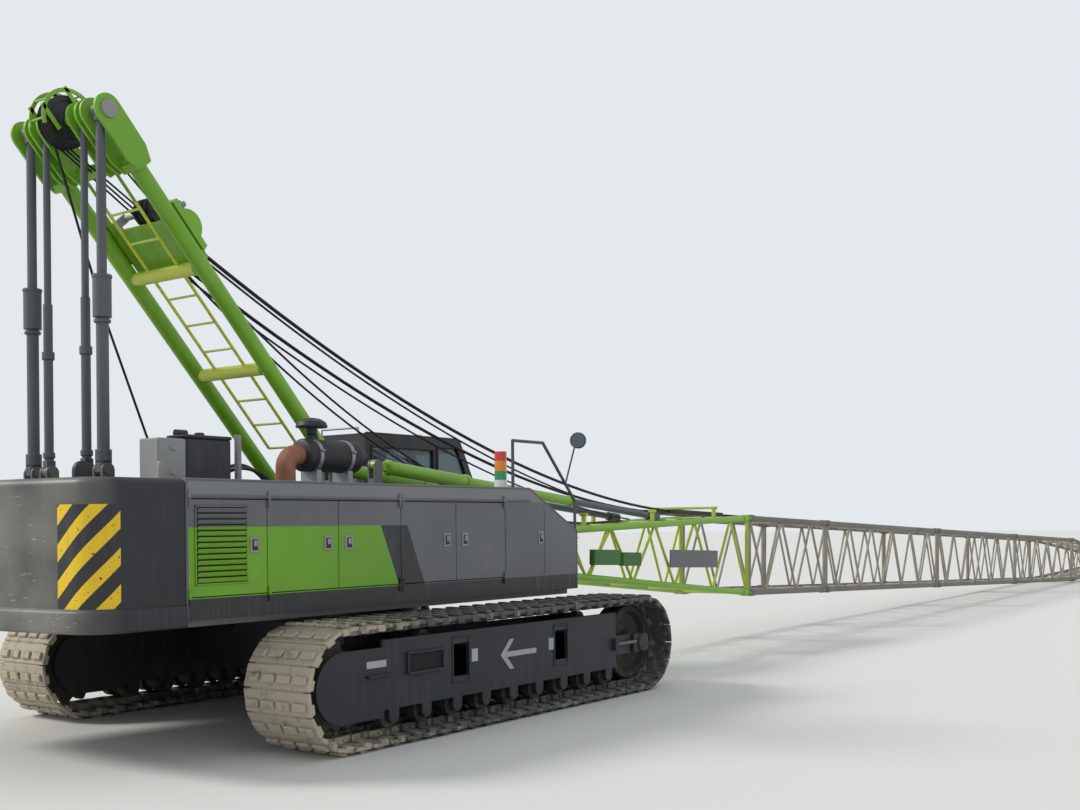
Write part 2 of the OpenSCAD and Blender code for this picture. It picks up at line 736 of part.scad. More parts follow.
module cab_seat() {
    color("black") {
        box_from([1350, cab_mid - 170, cab_z0 + cab_wall], [1750, cab_mid + 170, 1560]);
        box_from([1280, cab_mid - 250, 1559], [1820, cab_mid + 250, 1690]);
        box_from([1230, cab_mid - 240, 1560], [1360, cab_mid + 240, 2400]);
        for (e = [-1, 1]) box_from([1360, cab_mid + e * 320 - 70, cab_z0 + cab_wall],
            [1900, cab_mid + e * 320 + 70, 1820]);
    }
}

module winch_drums() {
    color(dark) for (d = drum_rows) translate([d[0], 0, d[1]]) {
        tube_y(d[3], drum_len);
        for (e = [-1, 1]) translate([0, e * (drum_len / 2 - 60), 0]) tube_y(d[2], 30);
    }
}

// Fittings on top of the right hood
cleaner_y = -1000;
module air_cleaner() {
    color(dark) {
        translate([-1790, cleaner_y, 2520]) rotate([0, 90, 0]) cylinder(r = 150, h = 700);
        for (x = [-1650, -1250]) box_from([x - 30, cleaner_y - 110, hood_z1], [x + 30, cleaner_y + 110, 2420]);
        translate([-1640, cleaner_y, 2600]) cylinder(r = 60, h = 130);
        translate([-1640, cleaner_y, 2700]) cylinder(r1 = 142, r2 = 60, h = 75);
    }
    color("saddlebrown") {
        translate([-1960, cleaner_y, hood_z1]) cylinder(r = 90, h = 270);
        translate([-1960, cleaner_y, 2520]) sphere(r = 90);
        translate([-1960, cleaner_y, 2520]) rotate([0, 90, 0]) cylinder(r = 90, h = 171);
    }
}
box_x = -3080;
module deck_boxes() {
    color(dark) {
        box_from([box_x, -1050, hood_z1], [box_x + 465, -800, 2640]);
        translate([box_x + 230, -925, 2639]) cylinder(r = 40, h = 30);
        box_from([box_x - 280, -1050, hood_z1], [box_x - slide_gap, -800, 2600]);
    }
}
rail_y = 1500;
mirror_x = 1820;
// Run of the handrail, seen from the side
rail_pts = [[740, hood_z1], [740, 2750], [1280, 2750], [1880, 2130], [1880, 1710], [hood_x1, 1710]];
hand_r = 17;
function rail_pt(i) = [rail_pts[i].x, -rail_y, rail_pts[i].y];
module handrail() {
    color("gray") {
        for (i = [0:len(rail_pts) - 2])
            tube_between(rail_pt(i), rail_pt(i + 1), hand_r, 16);
        for (i = [1:len(rail_pts) - 2]) translate(rail_pt(i)) sphere(r = hand_r);
        tube_between([mirror_x - 120, -rail_y, 2310], [mirror_x, -rail_y - 60, 2770], 10, 12);
        translate([mirror_x, -rail_y - 90, 2800]) rotate([0, 90, 20]) cylinder(r = 90, h = 40);
    }
}
module lamp_tower() {
    translate([740, -1340, hood_z1]) {
        color("white") cylinder(r = 70, h = 90);
        color("green") translate([0, 0, 90]) cylinder(r = 64, h = 95);
        color("orange") translate([0, 0, 185]) cylinder(r = 64, h = 105);
        color("red") translate([0, 0, 290]) cylinder(r = 64, h = 100);
    }
}

cheek_slope = 130;
module leg_cheeks(y, gap, x0) {
    for (e = [-1, 1]) plate_y(y + e * (gap + cheek_t) / 2, cheek_t) {
        translate([leg_len, 0]) circle(r = cheek_r);
        polygon([[x0, leg_r], [x0 + cheek_slope, cheek_r], [leg_len, cheek_r],
            [leg_len, -cheek_r], [x0 + cheek_slope, -cheek_r], [x0, -leg_r]]);
    }
}
module a_frame() {
    color(green) along_gantry() {
        both() {
            difference() {
                union() {
                    translate([0, web_y, 0]) tube_y(cheek_r - 10, web_gap - 1);
                    box_from([0, web_y - web_gap / 2 + 0.5, -70], [leg_x0 + eps, web_y + web_gap / 2 - 0.5, 70]);
                }
                translate([0, web_y, 0]) tube_y(foot_mid + slide_gap, web_gap + 2 * eps);
            }
            translate([leg_x0, web_y, 0]) rotate([0, 90, 0]) cylinder(r = leg_r, h = leg_x1 - leg_x0);
            box_from([leg_x1 - leg_r, web_y - cheek_gap / 2 - cheek_t / 2, -leg_r - 5],
                [leg_x1 + eps, web_y + cheek_gap / 2 + cheek_t / 2, leg_r + 5]);
            leg_cheeks(web_y, cheek_gap, leg_x1 - leg_r);
            leg_cheeks(jack_y, jack_gap, head_bar_x - cross_r);
        }
        for (x = cross_at) translate([x, 0, 0]) tube_y(cross_r, 2 * web_y);
        translate([head_bar_x, 0, 0]) tube_y(cross_r, 2 * web_y);
        translate([leg_len, 0, 0]) tube_y(head_pin_r, 2 * (jack_y - jack_gap / 2));
        ladder();
    }
}
jack_gap = 90;
head_bar_x = leg_len - 455;
module ladder() {
    for (e = [-1, 1]) tube_between([ladder_x0, e * ladder_y, 0], [head_bar_x, e * ladder_y, 0], rail_r, 12);
    for (x = [ladder_x0:rung_pitch:ladder_x1])
        tube_between([x, -ladder_y, 0], [x, ladder_y, 0], rail_r * 0.8, 8);
}
head_pin_r = 45;
head_pack_w = 140;
module head_sheaves() {
    color(dark) along_gantry() translate([leg_len, 0, 0]) difference() {
        tube_y(sheave_r, head_pack_w);
        tube_y(head_pin_r + slide_gap, head_pack_w + 2 * eps);
    }
}
// Floating sheave block that rests on the gantry legs, with the pendants' eyes in front
// Bridle: rounded cheeks that sit on the legs, a saddle plate between them and the ropes' lugs
bridle_z = leg_r + 0.3;
saddle_z = bridle_z + 25;
module bridle() {
    color(green) along_gantry() {
        both() plate_y(web_y, 2 * bridle_half_w) difference() {
            union() {
                translate([bridle_at, leg_r]) circle(r = bridle_r);
                translate([bridle_at - bridle_len / 2, bridle_z]) square([bridle_len, 60]);
            }
            translate([bridle_at - bridle_len, bridle_z - 2 * bridle_r])
                square([2 * bridle_len, 2 * bridle_r]);
        }
        box_from([bridle_at - saddle_len + 90, -web_y, saddle_z], [bridle_at + 90, web_y, saddle_z + 20]);
        for (y = pendant_y) box_from([bridle_at - 130, y - lug_t / 2, saddle_z + eps],
            [bridle_at + 20, y + lug_t / 2, bridle_z + 190]);
    }
}
bridle_r = 150;
bridle_half_w = 55;
saddle_len = 430;

module stay_tubes() {
    color("gray") both() translate([-head_back, 0, stay_z]) {
        stay_foot(stay_y, eye_w);
        stay_foot(jack_y, jack_eye_w);
        translate([0, stay_y, 0]) difference() {
            union() {
                translate([0, 0, 90]) cylinder(r = stay_r, h = stay_len - 90);
                translate([0, 0, stay_len - collar_len]) cylinder(r = collar_r, h = collar_len);
            }
            translate([0, 0, 110]) cylinder(r = stay_rod_r + slide_gap, h = stay_len);
        }
        translate([0, jack_y, 0]) difference() {
            translate([0, 0, 90]) cylinder(r = jack_r, h = jack_len - 90);
            translate([0, 0, 110]) cylinder(r = jack_rod_r + slide_gap, h = jack_len);
        }
    }
}
module stay_foot(y, w) {
    difference() {
        union() {
            translate([0, y, 0]) tube_y(eye_r - 5, 2 * w);
            box_from([-40, y - w, 0], [40, y + w, 105]);
        }
        translate([0, y, 0]) tube_y(pin_r + slide_gap, 2 * w + 2 * eps);
    }
}
module stay_rods() {
    color("gray") both() translate([-head_back, 0, stay_z]) {
        translate([0, stay_y, stay_rod_z0]) cylinder(r = stay_rod_r, h = stay_top - stay_rod_z0);
        translate([0, stay_y, stay_top]) tube_y(70, 2 * eye_w);
        translate([0, jack_y, jack_rod_z0]) cylinder(r = jack_rod_r, h = stay_top - jack_rod_z0);
        translate([0, jack_y, stay_top]) tube_y(60, 2 * jack_eye_w);
    }
}

// Backstops: local X runs from the rear pin on the gantry to the front pin on the boom
boom_dir = [cos(boom_dip), -sin(boom_dip)];
boom_up = [sin(boom_dip), cos(boom_dip)];
function boom_pt(s, v) = [boom_x, boom_z] + s * boom_dir + v * boom_up;
stop_run = boom_pt(backstop_s, backstop_v) - [-backstop_back, backstop_z];
stop_len = norm(stop_run);
module along_backstop() {
    translate([-backstop_back, backstop_y, backstop_z]) rotate([0, -atan2(stop_run.y, stop_run.x), 0])
        children();
}
module tube_x(r, x0, x1) {
    translate([x0, 0, 0]) rotate([0, 90, 0]) cylinder(r = r, h = x1 - x0);
}
module backstop_tubes() {
    color(green) both() along_backstop() difference() {
        union() {
            tube_y(eye_r - 5, 2 * backstop_eye_w);
            box_from([0, -backstop_eye_w, -45], [170, backstop_eye_w, 45]);
            tube_x(backstop_r, 160, backstop_tube_len);
            tube_x(backstop_mid_r, backstop_tube_len - eps, backstop_mid_len);
        }
        tube_y(pin_r + slide_gap, 2 * backstop_eye_w + 2 * eps);
        tube_x(backstop_rod_r + slide_gap, stop_bore_x, backstop_mid_len + eps);
    }
}
// Start of the rod's bore, and the length of rod inside it when the boom lies flat
stop_bore_x = 1450;
stop_rod_hidden = 300;
module backstop_rods() {
    color(green) both() along_backstop() {
        tube_x(backstop_rod_r, backstop_mid_len - stop_rod_hidden, stop_len - 170);
        box_from([stop_len - 180, -backstop_eye_w - 26, -50], [stop_len - 130, backstop_eye_w + 26, 50]);
        for (e = [-1, 1]) plate_y(e * (backstop_eye_w + 16), 20) {
            translate([stop_len, 0]) circle(r = 50);
            translate([stop_len - 140, -50]) square([140, 100]);
        }
    }
}

// Lattice: corners of the boom's section at station s, k = 0 to 3 going round
// The butt's chords bend straight just before its end, so that it meets the next section squarely
butt_bend = butt_len - chord_r;
function half_w(s) = s < butt_bend ? web_y + (boom_w / 2 - web_y) * s / butt_bend
    : s < tip_bend ? boom_w / 2
    : boom_w / 2 + (head_w / 2 - boom_w / 2) * (s - tip_bend) / (boom_len - tip_bend);
function half_d(s) = s < butt_bend ? (foot_d + (boom_d - foot_d) * (s - foot_len) / (butt_bend - foot_len)) / 2
    : s < tip_bend ? boom_d / 2
    : boom_d / 2 + (head_d / 2 - boom_d / 2) * (s - tip_bend) / (boom_len - tip_bend);
function corner(s, k) = [s, (k == 0 || k == 3 ? 1 : -1) * half_w(s), (k < 2 ? 1 : -1) * half_d(s)];
// Zigzag lacing on the four faces between two stations, in n bays, with a frame at both ends
module lacing(s0, s1, n) {
    step = (s1 - s0) / n;
    for (k = [0:3], i = [0:n - 1]) {
        a = i % 2 == 0 ? k : (k + 1) % 4;
        b = i % 2 == 0 ? (k + 1) % 4 : k;
        tube_between(corner(s0 + i * step, a), corner(s0 + (i + 1) * step, b), lace_r, 6);
    }
}
module ring_frame(s, r) {
    for (k = [0:3]) tube_between(corner(s, k), corner(s, (k + 1) % 4), r, 8);
}
module chords(stations) {
    for (k = [0:3], i = [0:len(stations) - 2])
        tube_between(corner(stations[i], k), corner(stations[i + 1], k), chord_r, 12);
}
module boom_section(s0, s1, bays) {
    color("gray") along_boom() {
        chords([s0, s1]);
        lacing(s0 + chord_r, s1 - chord_r, bays);
        ring_frame(s0 + chord_r, end_r);
        ring_frame(s1 - chord_r, end_r);
    }
}
module boom_butt() {
    color(green) along_boom() {
        both() difference() {
            union() {
                translate([0, web_y, 0]) tube_y(cheek_r - 5, web_gap - 1);
                plate_y(web_y, web_gap - 1) polygon([[0, -110], [foot_len + 60, -foot_d / 2 - 30],
                    [foot_len + 60, foot_d / 2 + 30], [0, 110]]);
            }
            translate([0, web_y, 0]) tube_y(foot_mid + slide_gap, web_gap + 2 * eps);
        }
        chords([foot_len, butt_bend, butt_len]);
        lacing(foot_len + 300, butt_bend, 11);
        ring_frame(foot_len + 300, end_r);
        ring_frame(butt_bend, end_r);
        tube_between(corner(backstop_s, 0), corner(backstop_s, 1), end_r, 8);
        both() plate_y(backstop_y, 2 * backstop_eye_w - 4) {
            translate([backstop_s, backstop_v]) circle(r = 45);
            translate([backstop_s - 45, half_d(backstop_s)]) square([90, backstop_v - half_d(backstop_s)]);
        }
    }
}
module boom_insert_short() boom_section(insert_a_s, long_1_s, 5);
module boom_insert_long_1() boom_section(long_1_s, long_2_s, 11);
module boom_insert_long_2() boom_section(long_2_s, long_3_s, 11);
module boom_insert_long_3() boom_section(long_3_s, tip_s, 11);
module boom_tip() {
    color("gray") along_boom() difference() {
        union() {
            chords([tip_s, tip_bend, boom_len]);
            lacing(tip_s + chord_r, boom_len - 300, 11);
            ring_frame(tip_s + chord_r, end_r);
            both() plate_y(head_w / 2, 60) {
                translate([boom_len, 0]) circle(r = 160);
                translate([boom_len - 600, -head_d / 2 - 30]) square([600, head_d + 60]);
            }
            translate([pendant_lug_s, 0, 0]) tube_y(80, head_w);
            for (y = pendant_y) plate_y(y, lug_t) translate([pendant_lug_s - 60, 0])
                square([120, half_d(pendant_lug_s) + lay_up + pendant_r + 10]);
            // Lug for a rope's dead end, under the head
            plate_y(0, lug_t) {
                translate([anchor_s, anchor_v]) circle(r = 65);
                translate([anchor_s - 60, anchor_v]) square([120, -anchor_v]);
            }
            translate([boom_len, 0, 0]) tube_y(50, head_w);
        }
        translate([anchor_s, 0, anchor_v]) tube_y(lug_hole_r, lug_t + 2 * eps);
    }
}
anchor_s = boom_len - 550;
anchor_v = -340;
module boom_sheaves() {
    color(dark) along_boom() translate([boom_len, 0, 0])
        for (y = [-180, -60, 60, 180]) translate([0, y, 0]) difference() {
            tube_y(boom_sheave_r, 60);
            tube_y(50 + slide_gap, 62);
        }
}

// Pendants: each hangs from the bridle to the boom's top, then lies along it to a lug on the head
pendant_y = [-200, 200];
function gantry_pt(x, z) = [0, gantry_z] + x * [-cos(leg_a), sin(leg_a)] + z * [sin(leg_a), cos(leg_a)];
pendant_top = gantry_pt(bridle_at - 138, leg_r + 150);
lay_s = 5700;
lay_up = end_r + pendant_r + 0.3;
hang_n = 10;
pendant_sag = 560;
lay_pt = boom_pt(lay_s, boom_d / 2 + lay_up);
pendant_lug_s = boom_len - 550;
function hang_pt(t) = pendant_top + (lay_pt - pendant_top) * t - [0, 4 * pendant_sag * t * (1 - t)];
module pendants_hanging() {
    color("black") for (y = pendant_y, i = [0:hang_n - 1]) {
        a = hang_pt(i / hang_n);
        b = hang_pt((i + 1) / hang_n);
        tube_between([a.x, y, a.y], [b.x, y, b.y], pendant_r, 8);
    }
}
// Step that keeps the flat end of the laid rope clear of the hanging rope's slanted end
hang_last = hang_pt(1) - hang_pt(1 - 1 / hang_n);
lay_step = pendant_r * abs(hang_last * boom_up) / norm(hang_last) + 0.2;
module pendants_laid() {
    s1 = pendant_lug_s - 61;
    rows = [[lay_s + lay_step, boom_d / 2], [tip_bend, boom_d / 2], [s1, half_d(s1)]];
    color("black") along_boom() for (y = pendant_y, i = [0, 1])
        tube_between([rows[i][0], y, rows[i][1] + lay_up],
            [rows[i + 1][0], y, rows[i + 1][1] + lay_up], pendant_r, 8);
    // Link at the bend of each laid rope
    color("black") along_boom() for (y = pendant_y) translate([tip_bend, y, boom_d / 2 + lay_up])
        sphere(r = link_r);
}
link_r = 25;

carbody();
slew_ring();
track_frame_left();
track_frame_right();
track_left();
track_right();
rollers();
track_wheels();
deck();
deck_webs();
deck_brackets();
counterweight();
hood_right();
hood_left();
engine();
cab();
cab_glass();
cab_seat();
winch_drums();
air_cleaner();
deck_boxes();
handrail();
lamp_tower();
hood_door_1();
hood_door_2();
hood_door_3();
hood_door_4();
hood_door_5();
left_door_1();
left_door_2();
cab_door();
a_frame();
head_sheaves();
bridle();
stay_tubes();
stay_rods();
backstop_tubes();
backstop_rods();
boom_butt();
boom_insert_short();
boom_insert_long_1();
boom_insert_long_2();
boom_insert_long_3();
boom_tip();
boom_sheaves();
pendants_laid();
pendants_hanging();
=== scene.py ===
"""A crawler crane with its lattice boom laid out in front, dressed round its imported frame.

Everything is in metres: X points forward, Y to the left and Z up, and the slewing axis
stands at X = Y = 0. The near side in the picture is the -Y side, with the machinery hood.
"""

import json
import logging
import math
from collections.abc import Callable
from dataclasses import dataclass
from enum import Enum
from functools import partial

import bmesh
import bpy
import numpy as np
from mathutils import Matrix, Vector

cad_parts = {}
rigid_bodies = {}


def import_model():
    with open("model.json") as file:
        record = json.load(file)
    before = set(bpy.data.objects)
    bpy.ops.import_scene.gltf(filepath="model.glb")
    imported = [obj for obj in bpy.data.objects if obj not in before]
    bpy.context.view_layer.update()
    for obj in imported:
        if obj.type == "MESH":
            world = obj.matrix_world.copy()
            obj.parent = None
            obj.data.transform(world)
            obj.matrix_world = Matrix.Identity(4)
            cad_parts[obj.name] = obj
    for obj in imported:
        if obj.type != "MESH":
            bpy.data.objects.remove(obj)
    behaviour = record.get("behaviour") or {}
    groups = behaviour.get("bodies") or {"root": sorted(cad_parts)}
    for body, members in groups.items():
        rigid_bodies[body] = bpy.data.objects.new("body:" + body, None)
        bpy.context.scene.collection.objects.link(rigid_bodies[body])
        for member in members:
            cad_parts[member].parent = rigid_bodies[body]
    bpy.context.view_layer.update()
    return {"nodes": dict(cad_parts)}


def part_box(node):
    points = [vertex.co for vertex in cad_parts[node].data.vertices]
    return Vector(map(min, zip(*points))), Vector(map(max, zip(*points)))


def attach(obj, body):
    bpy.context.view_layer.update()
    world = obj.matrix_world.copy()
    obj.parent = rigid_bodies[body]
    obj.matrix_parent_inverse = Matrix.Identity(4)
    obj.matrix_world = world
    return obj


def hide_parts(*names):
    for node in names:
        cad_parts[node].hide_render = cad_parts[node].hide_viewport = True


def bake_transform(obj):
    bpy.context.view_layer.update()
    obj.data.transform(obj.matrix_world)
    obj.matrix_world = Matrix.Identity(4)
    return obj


logging.basicConfig(level=logging.INFO, format="%(message)s")
LOG = logging.getLogger("crane")
TAU = 2 * math.pi
AHEAD, ACROSS, UP = (1, 0, 0), (0, 1, 0), (0, 0, 1)

Socket = bpy.types.NodeSocket
Put = Callable[..., Socket]
Point = tuple[float, float, float]
Pair = tuple[float, float]
Span = tuple[float, ...]


class Side(Enum):
    """The machine's two sides, as the sign of Y."""

    RIGHT = -1
    LEFT = 1


def unit(vectors: np.ndarray) -> np.ndarray:
    """Scales vectors to a length of one.

    Args:
        vectors: Vectors in the last axis.

    Returns:
        The same vectors, each divided by its length.
    """
    return vectors / np.linalg.norm(vectors, axis=-1, keepdims=True)


def arc(centre: Pair, radius: float, start: float, end: float, steps: int) -> np.ndarray:
    """Points of a circle's arc: centre + radius (cos a, sin a), with a from start to end.

    Args:
        centre: The circle's centre in its plane.
        radius: Its radius.
        start: First angle, in degrees.
        end: Last angle, in degrees.
        steps: Number of points.

    Returns:
        An array of steps by 2.
    """
    turn = np.radians(np.linspace(start, end, steps))
    return np.array(centre) + radius * np.stack([np.cos(turn), np.sin(turn)], axis=1)


class Shape:
    """Surfaces that are gathered into one mesh piece."""

    def __init__(self) -> None:
        """Starts with no surface."""
        self.points: list[np.ndarray] = []
        self.faces: list[np.ndarray] = []
        self.uvs: list[np.ndarray] = []
        self.count = 0

    def add(self, points: np.ndarray, *faces: np.ndarray, uv: np.ndarray | None = None) -> None:
        """Adds points and the faces that join them.

        Args:
            points: The new points, one row each.
            *faces: Arrays of faces, one row of point numbers each, where this call's first is 0.
            uv: A pair of pattern coordinates for each point.
        """
        self.points.append(points)
        self.faces += [np.atleast_2d(f) + self.count for f in faces]
        self.uvs.append(np.zeros((len(points), 2)) if uv is None else uv)
        self.count += len(points)

    def grid(self, points: np.ndarray, caps: bool = True, uv: np.ndarray | None = None) -> None:
        """Adds a surface whose points stand on a grid of two parameters, closed along its rows.

        Args:
            points: An array of rows by columns by 3.
            caps: Whether the first and last rows are closed with a flat face; else they join.
            uv: Pattern coordinates on the same grid.
        """
        rows, columns = points.shape[:2]
        ids = np.arange(rows * columns).reshape(rows, columns)
        wide = np.hstack([ids, ids[:, :1]])
        wide = wide if caps else np.vstack([wide, wide[:1]])
        quads = np.stack([wide[:-1, :-1], wide[1:, :-1], wide[1:, 1:], wide[:-1, 1:]], axis=-1)
        ends = [ids[0], ids[-1]] if caps else []
        flat_uv = None if uv is None else uv.reshape(-1, 2)
        self.add(points.reshape(-1, 3), quads.reshape(-1, 4), *ends, uv=flat_uv)

    def rods(self, starts: np.ndarray, ends: np.ndarray, radius: float, sides: int = 10) -> None:
        """Adds straight round rods: a circle, r (cos a side + sin a up), drawn from start to end.

        Args:
            starts: Start points, one row each.
            ends: End points.
            radius: The rods' radius.
            sides: Number of facets round a rod.
        """
        a, b = np.atleast_2d(starts).astype(float), np.atleast_2d(ends).astype(float)
        along = unit(b - a)
        helper = np.where(np.abs(along[:, 2:3]) < 0.9, [[0.0, 0.0, 1.0]], [[1.0, 0.0, 0.0]])
        side = unit(np.cross(along, helper))
        up = np.cross(side, along)
        turn = np.linspace(0, TAU, sides, endpoint=False)[None, :, None]
        ring = radius * (side[:, None] * np.cos(turn) + up[:, None] * np.sin(turn))
        points = np.stack([a[:, None] + ring, b[:, None] + ring], axis=1)
        first = np.arange(sides)
        after = (first + 1) % sides
        base = (np.arange(len(a)) * 2 * sides)[:, None, None]
        quads = np.stack([first, after, after + sides, first + sides], axis=1)[None] + base
        caps = np.stack([first, first + sides])[None] + base
        self.add(points.reshape(-1, 3), quads.reshape(-1, 4), caps.reshape(-1, sides))

    def pipe(self, path: np.ndarray, radius: float, across: Point, sides: int = 12) -> None:
        """Adds a round tube along a path; its rings stand square to the path's tangent.

        Args:
            path: Points of the middle line, one row each.
            radius: The tube's radius.
            across: A direction that the path never takes, which keeps the rings from twisting.
            sides: Number of facets round the tube.
        """
        ahead = np.vstack([path[1:], 2 * path[-1:] - path[-2:-1]])
        behind = np.vstack([2 * path[:1] - path[1:2], path[:-1]])
        tangent = unit(ahead - behind)
        side = unit(np.cross(tangent, np.array(across, float)))
        up = np.cross(side, tangent)
        turn = np.linspace(0, TAU, sides, endpoint=False)[None, :, None]
        ring = side[:, None] * np.cos(turn) + up[:, None] * np.sin(turn)
        points = path[:, None] + ring * radius
        length = np.concatenate([[0], np.cumsum(np.linalg.norm(np.diff(path, axis=0), axis=1))])
        around = np.linspace(0, 1, sides)[None, :]
        uv = np.stack(np.broadcast_arrays(around, length[:, None]), axis=-1)
        self.grid(points, uv=uv)

    def turned(self, profile: list[Pair], centre: Point,
               axis: Point = (0, 1, 0), steps: int = 36, ring: bool = False) -> None:
        """Adds a turned body: each pair (radius, height) of the profile goes round the axis.

        Args:
            profile: Radius and height along the axis, from one flat end to the other.
            centre: The point of the axis where the height is zero.
            axis: Direction of the axis.
            steps: Number of facets round it.
            ring: Whether the profile closes on itself round an open hole.
        """
        line = unit(np.array(axis, float))
        side = unit(np.cross(line, [0.3, 0.2, 0.9]))
        up = np.cross(line, side)
        turn = np.linspace(0, TAU, steps, endpoint=False)[None, :, None]
        values = np.array(profile, float)[:, :, None, None]
        around = (side * np.cos(turn) + up * np.sin(turn)) * values[:, 0] + line * values[:, 1]
        self.grid(around + np.array(centre, float), caps=not ring)

    def plate(self, outline: np.ndarray, low: float, high: float, rim: float) -> None:
        """Adds an upright plate with rounded rims: rings of the outline, set in by rim (1 - sin a).

        Args:
            outline: Corners in X and Z, going round once.
            low: Y of one face.
            high: Y of the other face.
            rim: Radius of the rounded rims.
        """
        edge = unit(np.roll(outline, -1, axis=0) - outline)
        normal = np.stack([edge[:, 1], -edge[:, 0]], axis=1)
        before = np.roll(normal, 1, axis=0)
        miter = (normal + before) / (1 + np.sum(normal * before, axis=1, keepdims=True)).clip(0.2)
        x, z = outline.T
        miter *= -np.sign(np.sum(x * np.roll(z, -1) - z * np.roll(x, -1)))
        turn = np.radians([0, 30, 60, 90])
        inset = rim * (1 - np.sin(turn))
        level = rim * (1 - np.cos(turn))
        insets = np.concatenate([inset, inset[::-1]])
        levels = np.concatenate([low + level, high - level[::-1]])
        flat = outline[None] + miter[None] * insets[:, None, None]
        points = np.zeros((len(insets), len(outline), 3))
        points[:, :, [0, 2]] = flat
        points[:, :, 1] = levels[:, None]
        self.grid(points)

    def blocks(self, centres: np.ndarray, sizes: np.ndarray, chamfer: float,
               turns: np.ndarray | None = None) -> None:
        """Adds boxes with chamfered edges.

        Args:
            centres: Middle points, one row each.
            sizes: Full sizes along the box's own axes, one row, or one for each box.
            chamfer: Width that is cut from every edge.
            turns: A 3 by 3 matrix for each box, whose columns are the box's own axes.
        """
        middle = np.atleast_2d(centres).astype(float)
        half = np.broadcast_to(np.atleast_2d(sizes).astype(float) / 2, middle.shape)
        sign = np.array([[x, y, z] for x in (-1, 1) for y in (-1, 1) for z in (-1, 1)], float)
        out = sign[:, None, :] * (half[:, None, None, :] - chamfer * (1 - np.eye(3))[None, None])
        points = out.reshape(len(middle), 24, 3)
        if turns is not None:
            points = np.einsum("kij,knj->kni", turns, points)
        points = points + middle[:, None]
        base = (np.arange(len(middle)) * 24)[:, None, None]
        quads = (BLOCK_QUADS[None] + base).reshape(-1, 4)
        corners = (np.arange(24).reshape(8, 3)[None] + base).reshape(-1, 3)
        self.add(points.reshape(-1, 3), quads, corners)

    def copies(self, other: "Shape", turns: np.ndarray, places: np.ndarray) -> None:
        """Adds copies of another shape, each turned and moved.

        Args:
            other: The shape that is repeated.
            turns: One 3 by 3 matrix for each copy, whose columns are its own axes.
            places: Where each copy's origin goes.
        """
        points = np.vstack(other.points)
        placed = np.einsum("kij,nj->kni", turns, points) + places[:, None]
        base = (np.arange(len(places)) * len(points))[:, None, None]
        faces = [(f[None] + base).reshape(-1, f.shape[1]) for f in other.faces]
        self.add(placed.reshape(-1, 3), *faces)

    def piece(self, name: str, finish: "Finish", body: str, smooth: float = 35.0,
              replaces: tuple[str, ...] = ()) -> bpy.types.Object:
        """Makes the mesh, turns its faces outwards and fastens it to a body.

        Args:
            name: Name of the piece.
            finish: Its surface finish.
            body: The body of the frame that it rides on, or nothing for one that rides on none.
            smooth: Angle in degrees under which edges look rounded.
            replaces: Nodes of the frame that it stands for.

        Returns:
            The new object, at the origin.
        """
        mesh = bpy.data.meshes.new(name)
        faces = [row for block in self.faces for row in block.tolist()]
        mesh.from_pydata(np.vstack(self.points).tolist(), [], faces)
        layer = mesh.uv_layers.new(name="UVMap")
        corner = np.zeros(len(mesh.loops), np.int32)
        mesh.loops.foreach_get("vertex_index", corner)
        layer.data.foreach_set("uv", np.vstack(self.uvs)[corner].astype(np.float32).ravel())
        work = bmesh.new()
        work.from_mesh(mesh)
        bmesh.ops.recalc_face_normals(work, faces=work.faces)
        for edge in work.edges:
            edge.smooth = edge.calc_face_angle(TAU) < math.radians(smooth)
        for face in work.faces:
            face.smooth = True
        work.to_mesh(mesh)
        work.free()
        mesh.materials.append(finish.material())
        made = bpy.data.objects.new(name, mesh)
        bpy.context.scene.collection.objects.link(made)
        if body:
            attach(made, body)
        if replaces:
            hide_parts(*replaces)
        LOG.info("%s: %d faces", name, len(mesh.polygons))
        return made

    def loose(self, name: str, finish: "Finish", replaces: tuple[str, ...]) -> bpy.types.Object:
        """Makes the mesh of a piece that rides on no body.

        Args:
            name: Name of the piece.
            finish: Its surface finish.
            replaces: Nodes of the frame that it stands for.

        Returns:
            The new object, fastened to no body.
        """
        return self.piece(name, finish, "", replaces=replaces)


def block_quads() -> np.ndarray:
    """Works out the faces and chamfers of a box whose corners each have three points.

    Returns:
        Rows of four point numbers; point 3 c + k is corner c's point on the face square to axis k.
    """
    rows = []
    for axis in range(3):
        first, second = (k for k in range(3) if k != axis)
        corners = np.moveaxis(np.arange(8).reshape(2, 2, 2), axis, 0)
        ends = 3 * corners[:, [0, 1, 1, 0], [0, 0, 1, 1]]
        chamfers = [ends[0] + first, ends[1] + first, ends[1] + second, ends[0] + second]
        rows += [ends + axis, np.stack(chamfers, axis=1)]
    return np.vstack(rows)


BLOCK_QUADS = block_quads()


def colour(code: str) -> tuple[float, float, float, float]:
    """Turns an sRGB colour such as "#6f9e28" to linear light.

    Args:
        code: Six hex digits after a hash.

    Returns:
        Red, green, blue and an alpha of one.
    """
    values = [int(code[i:i + 2], 16) / 255 for i in (1, 3, 5)]
    red, green, blue = (v / 12.92 if v <= 0.04045 else ((v + 0.055) / 1.055) ** 2.4 for v in values)
    return red, green, blue, 1.0


def feed(tree: bpy.types.NodeTree, entry: Socket, value: object) -> None:
    """Links a socket to a node's input, or sets the input to a plain value; None leaves it."""
    if isinstance(value, Socket):
        tree.links.new(value, entry)
    elif value is not None:
        entry.default_value = value


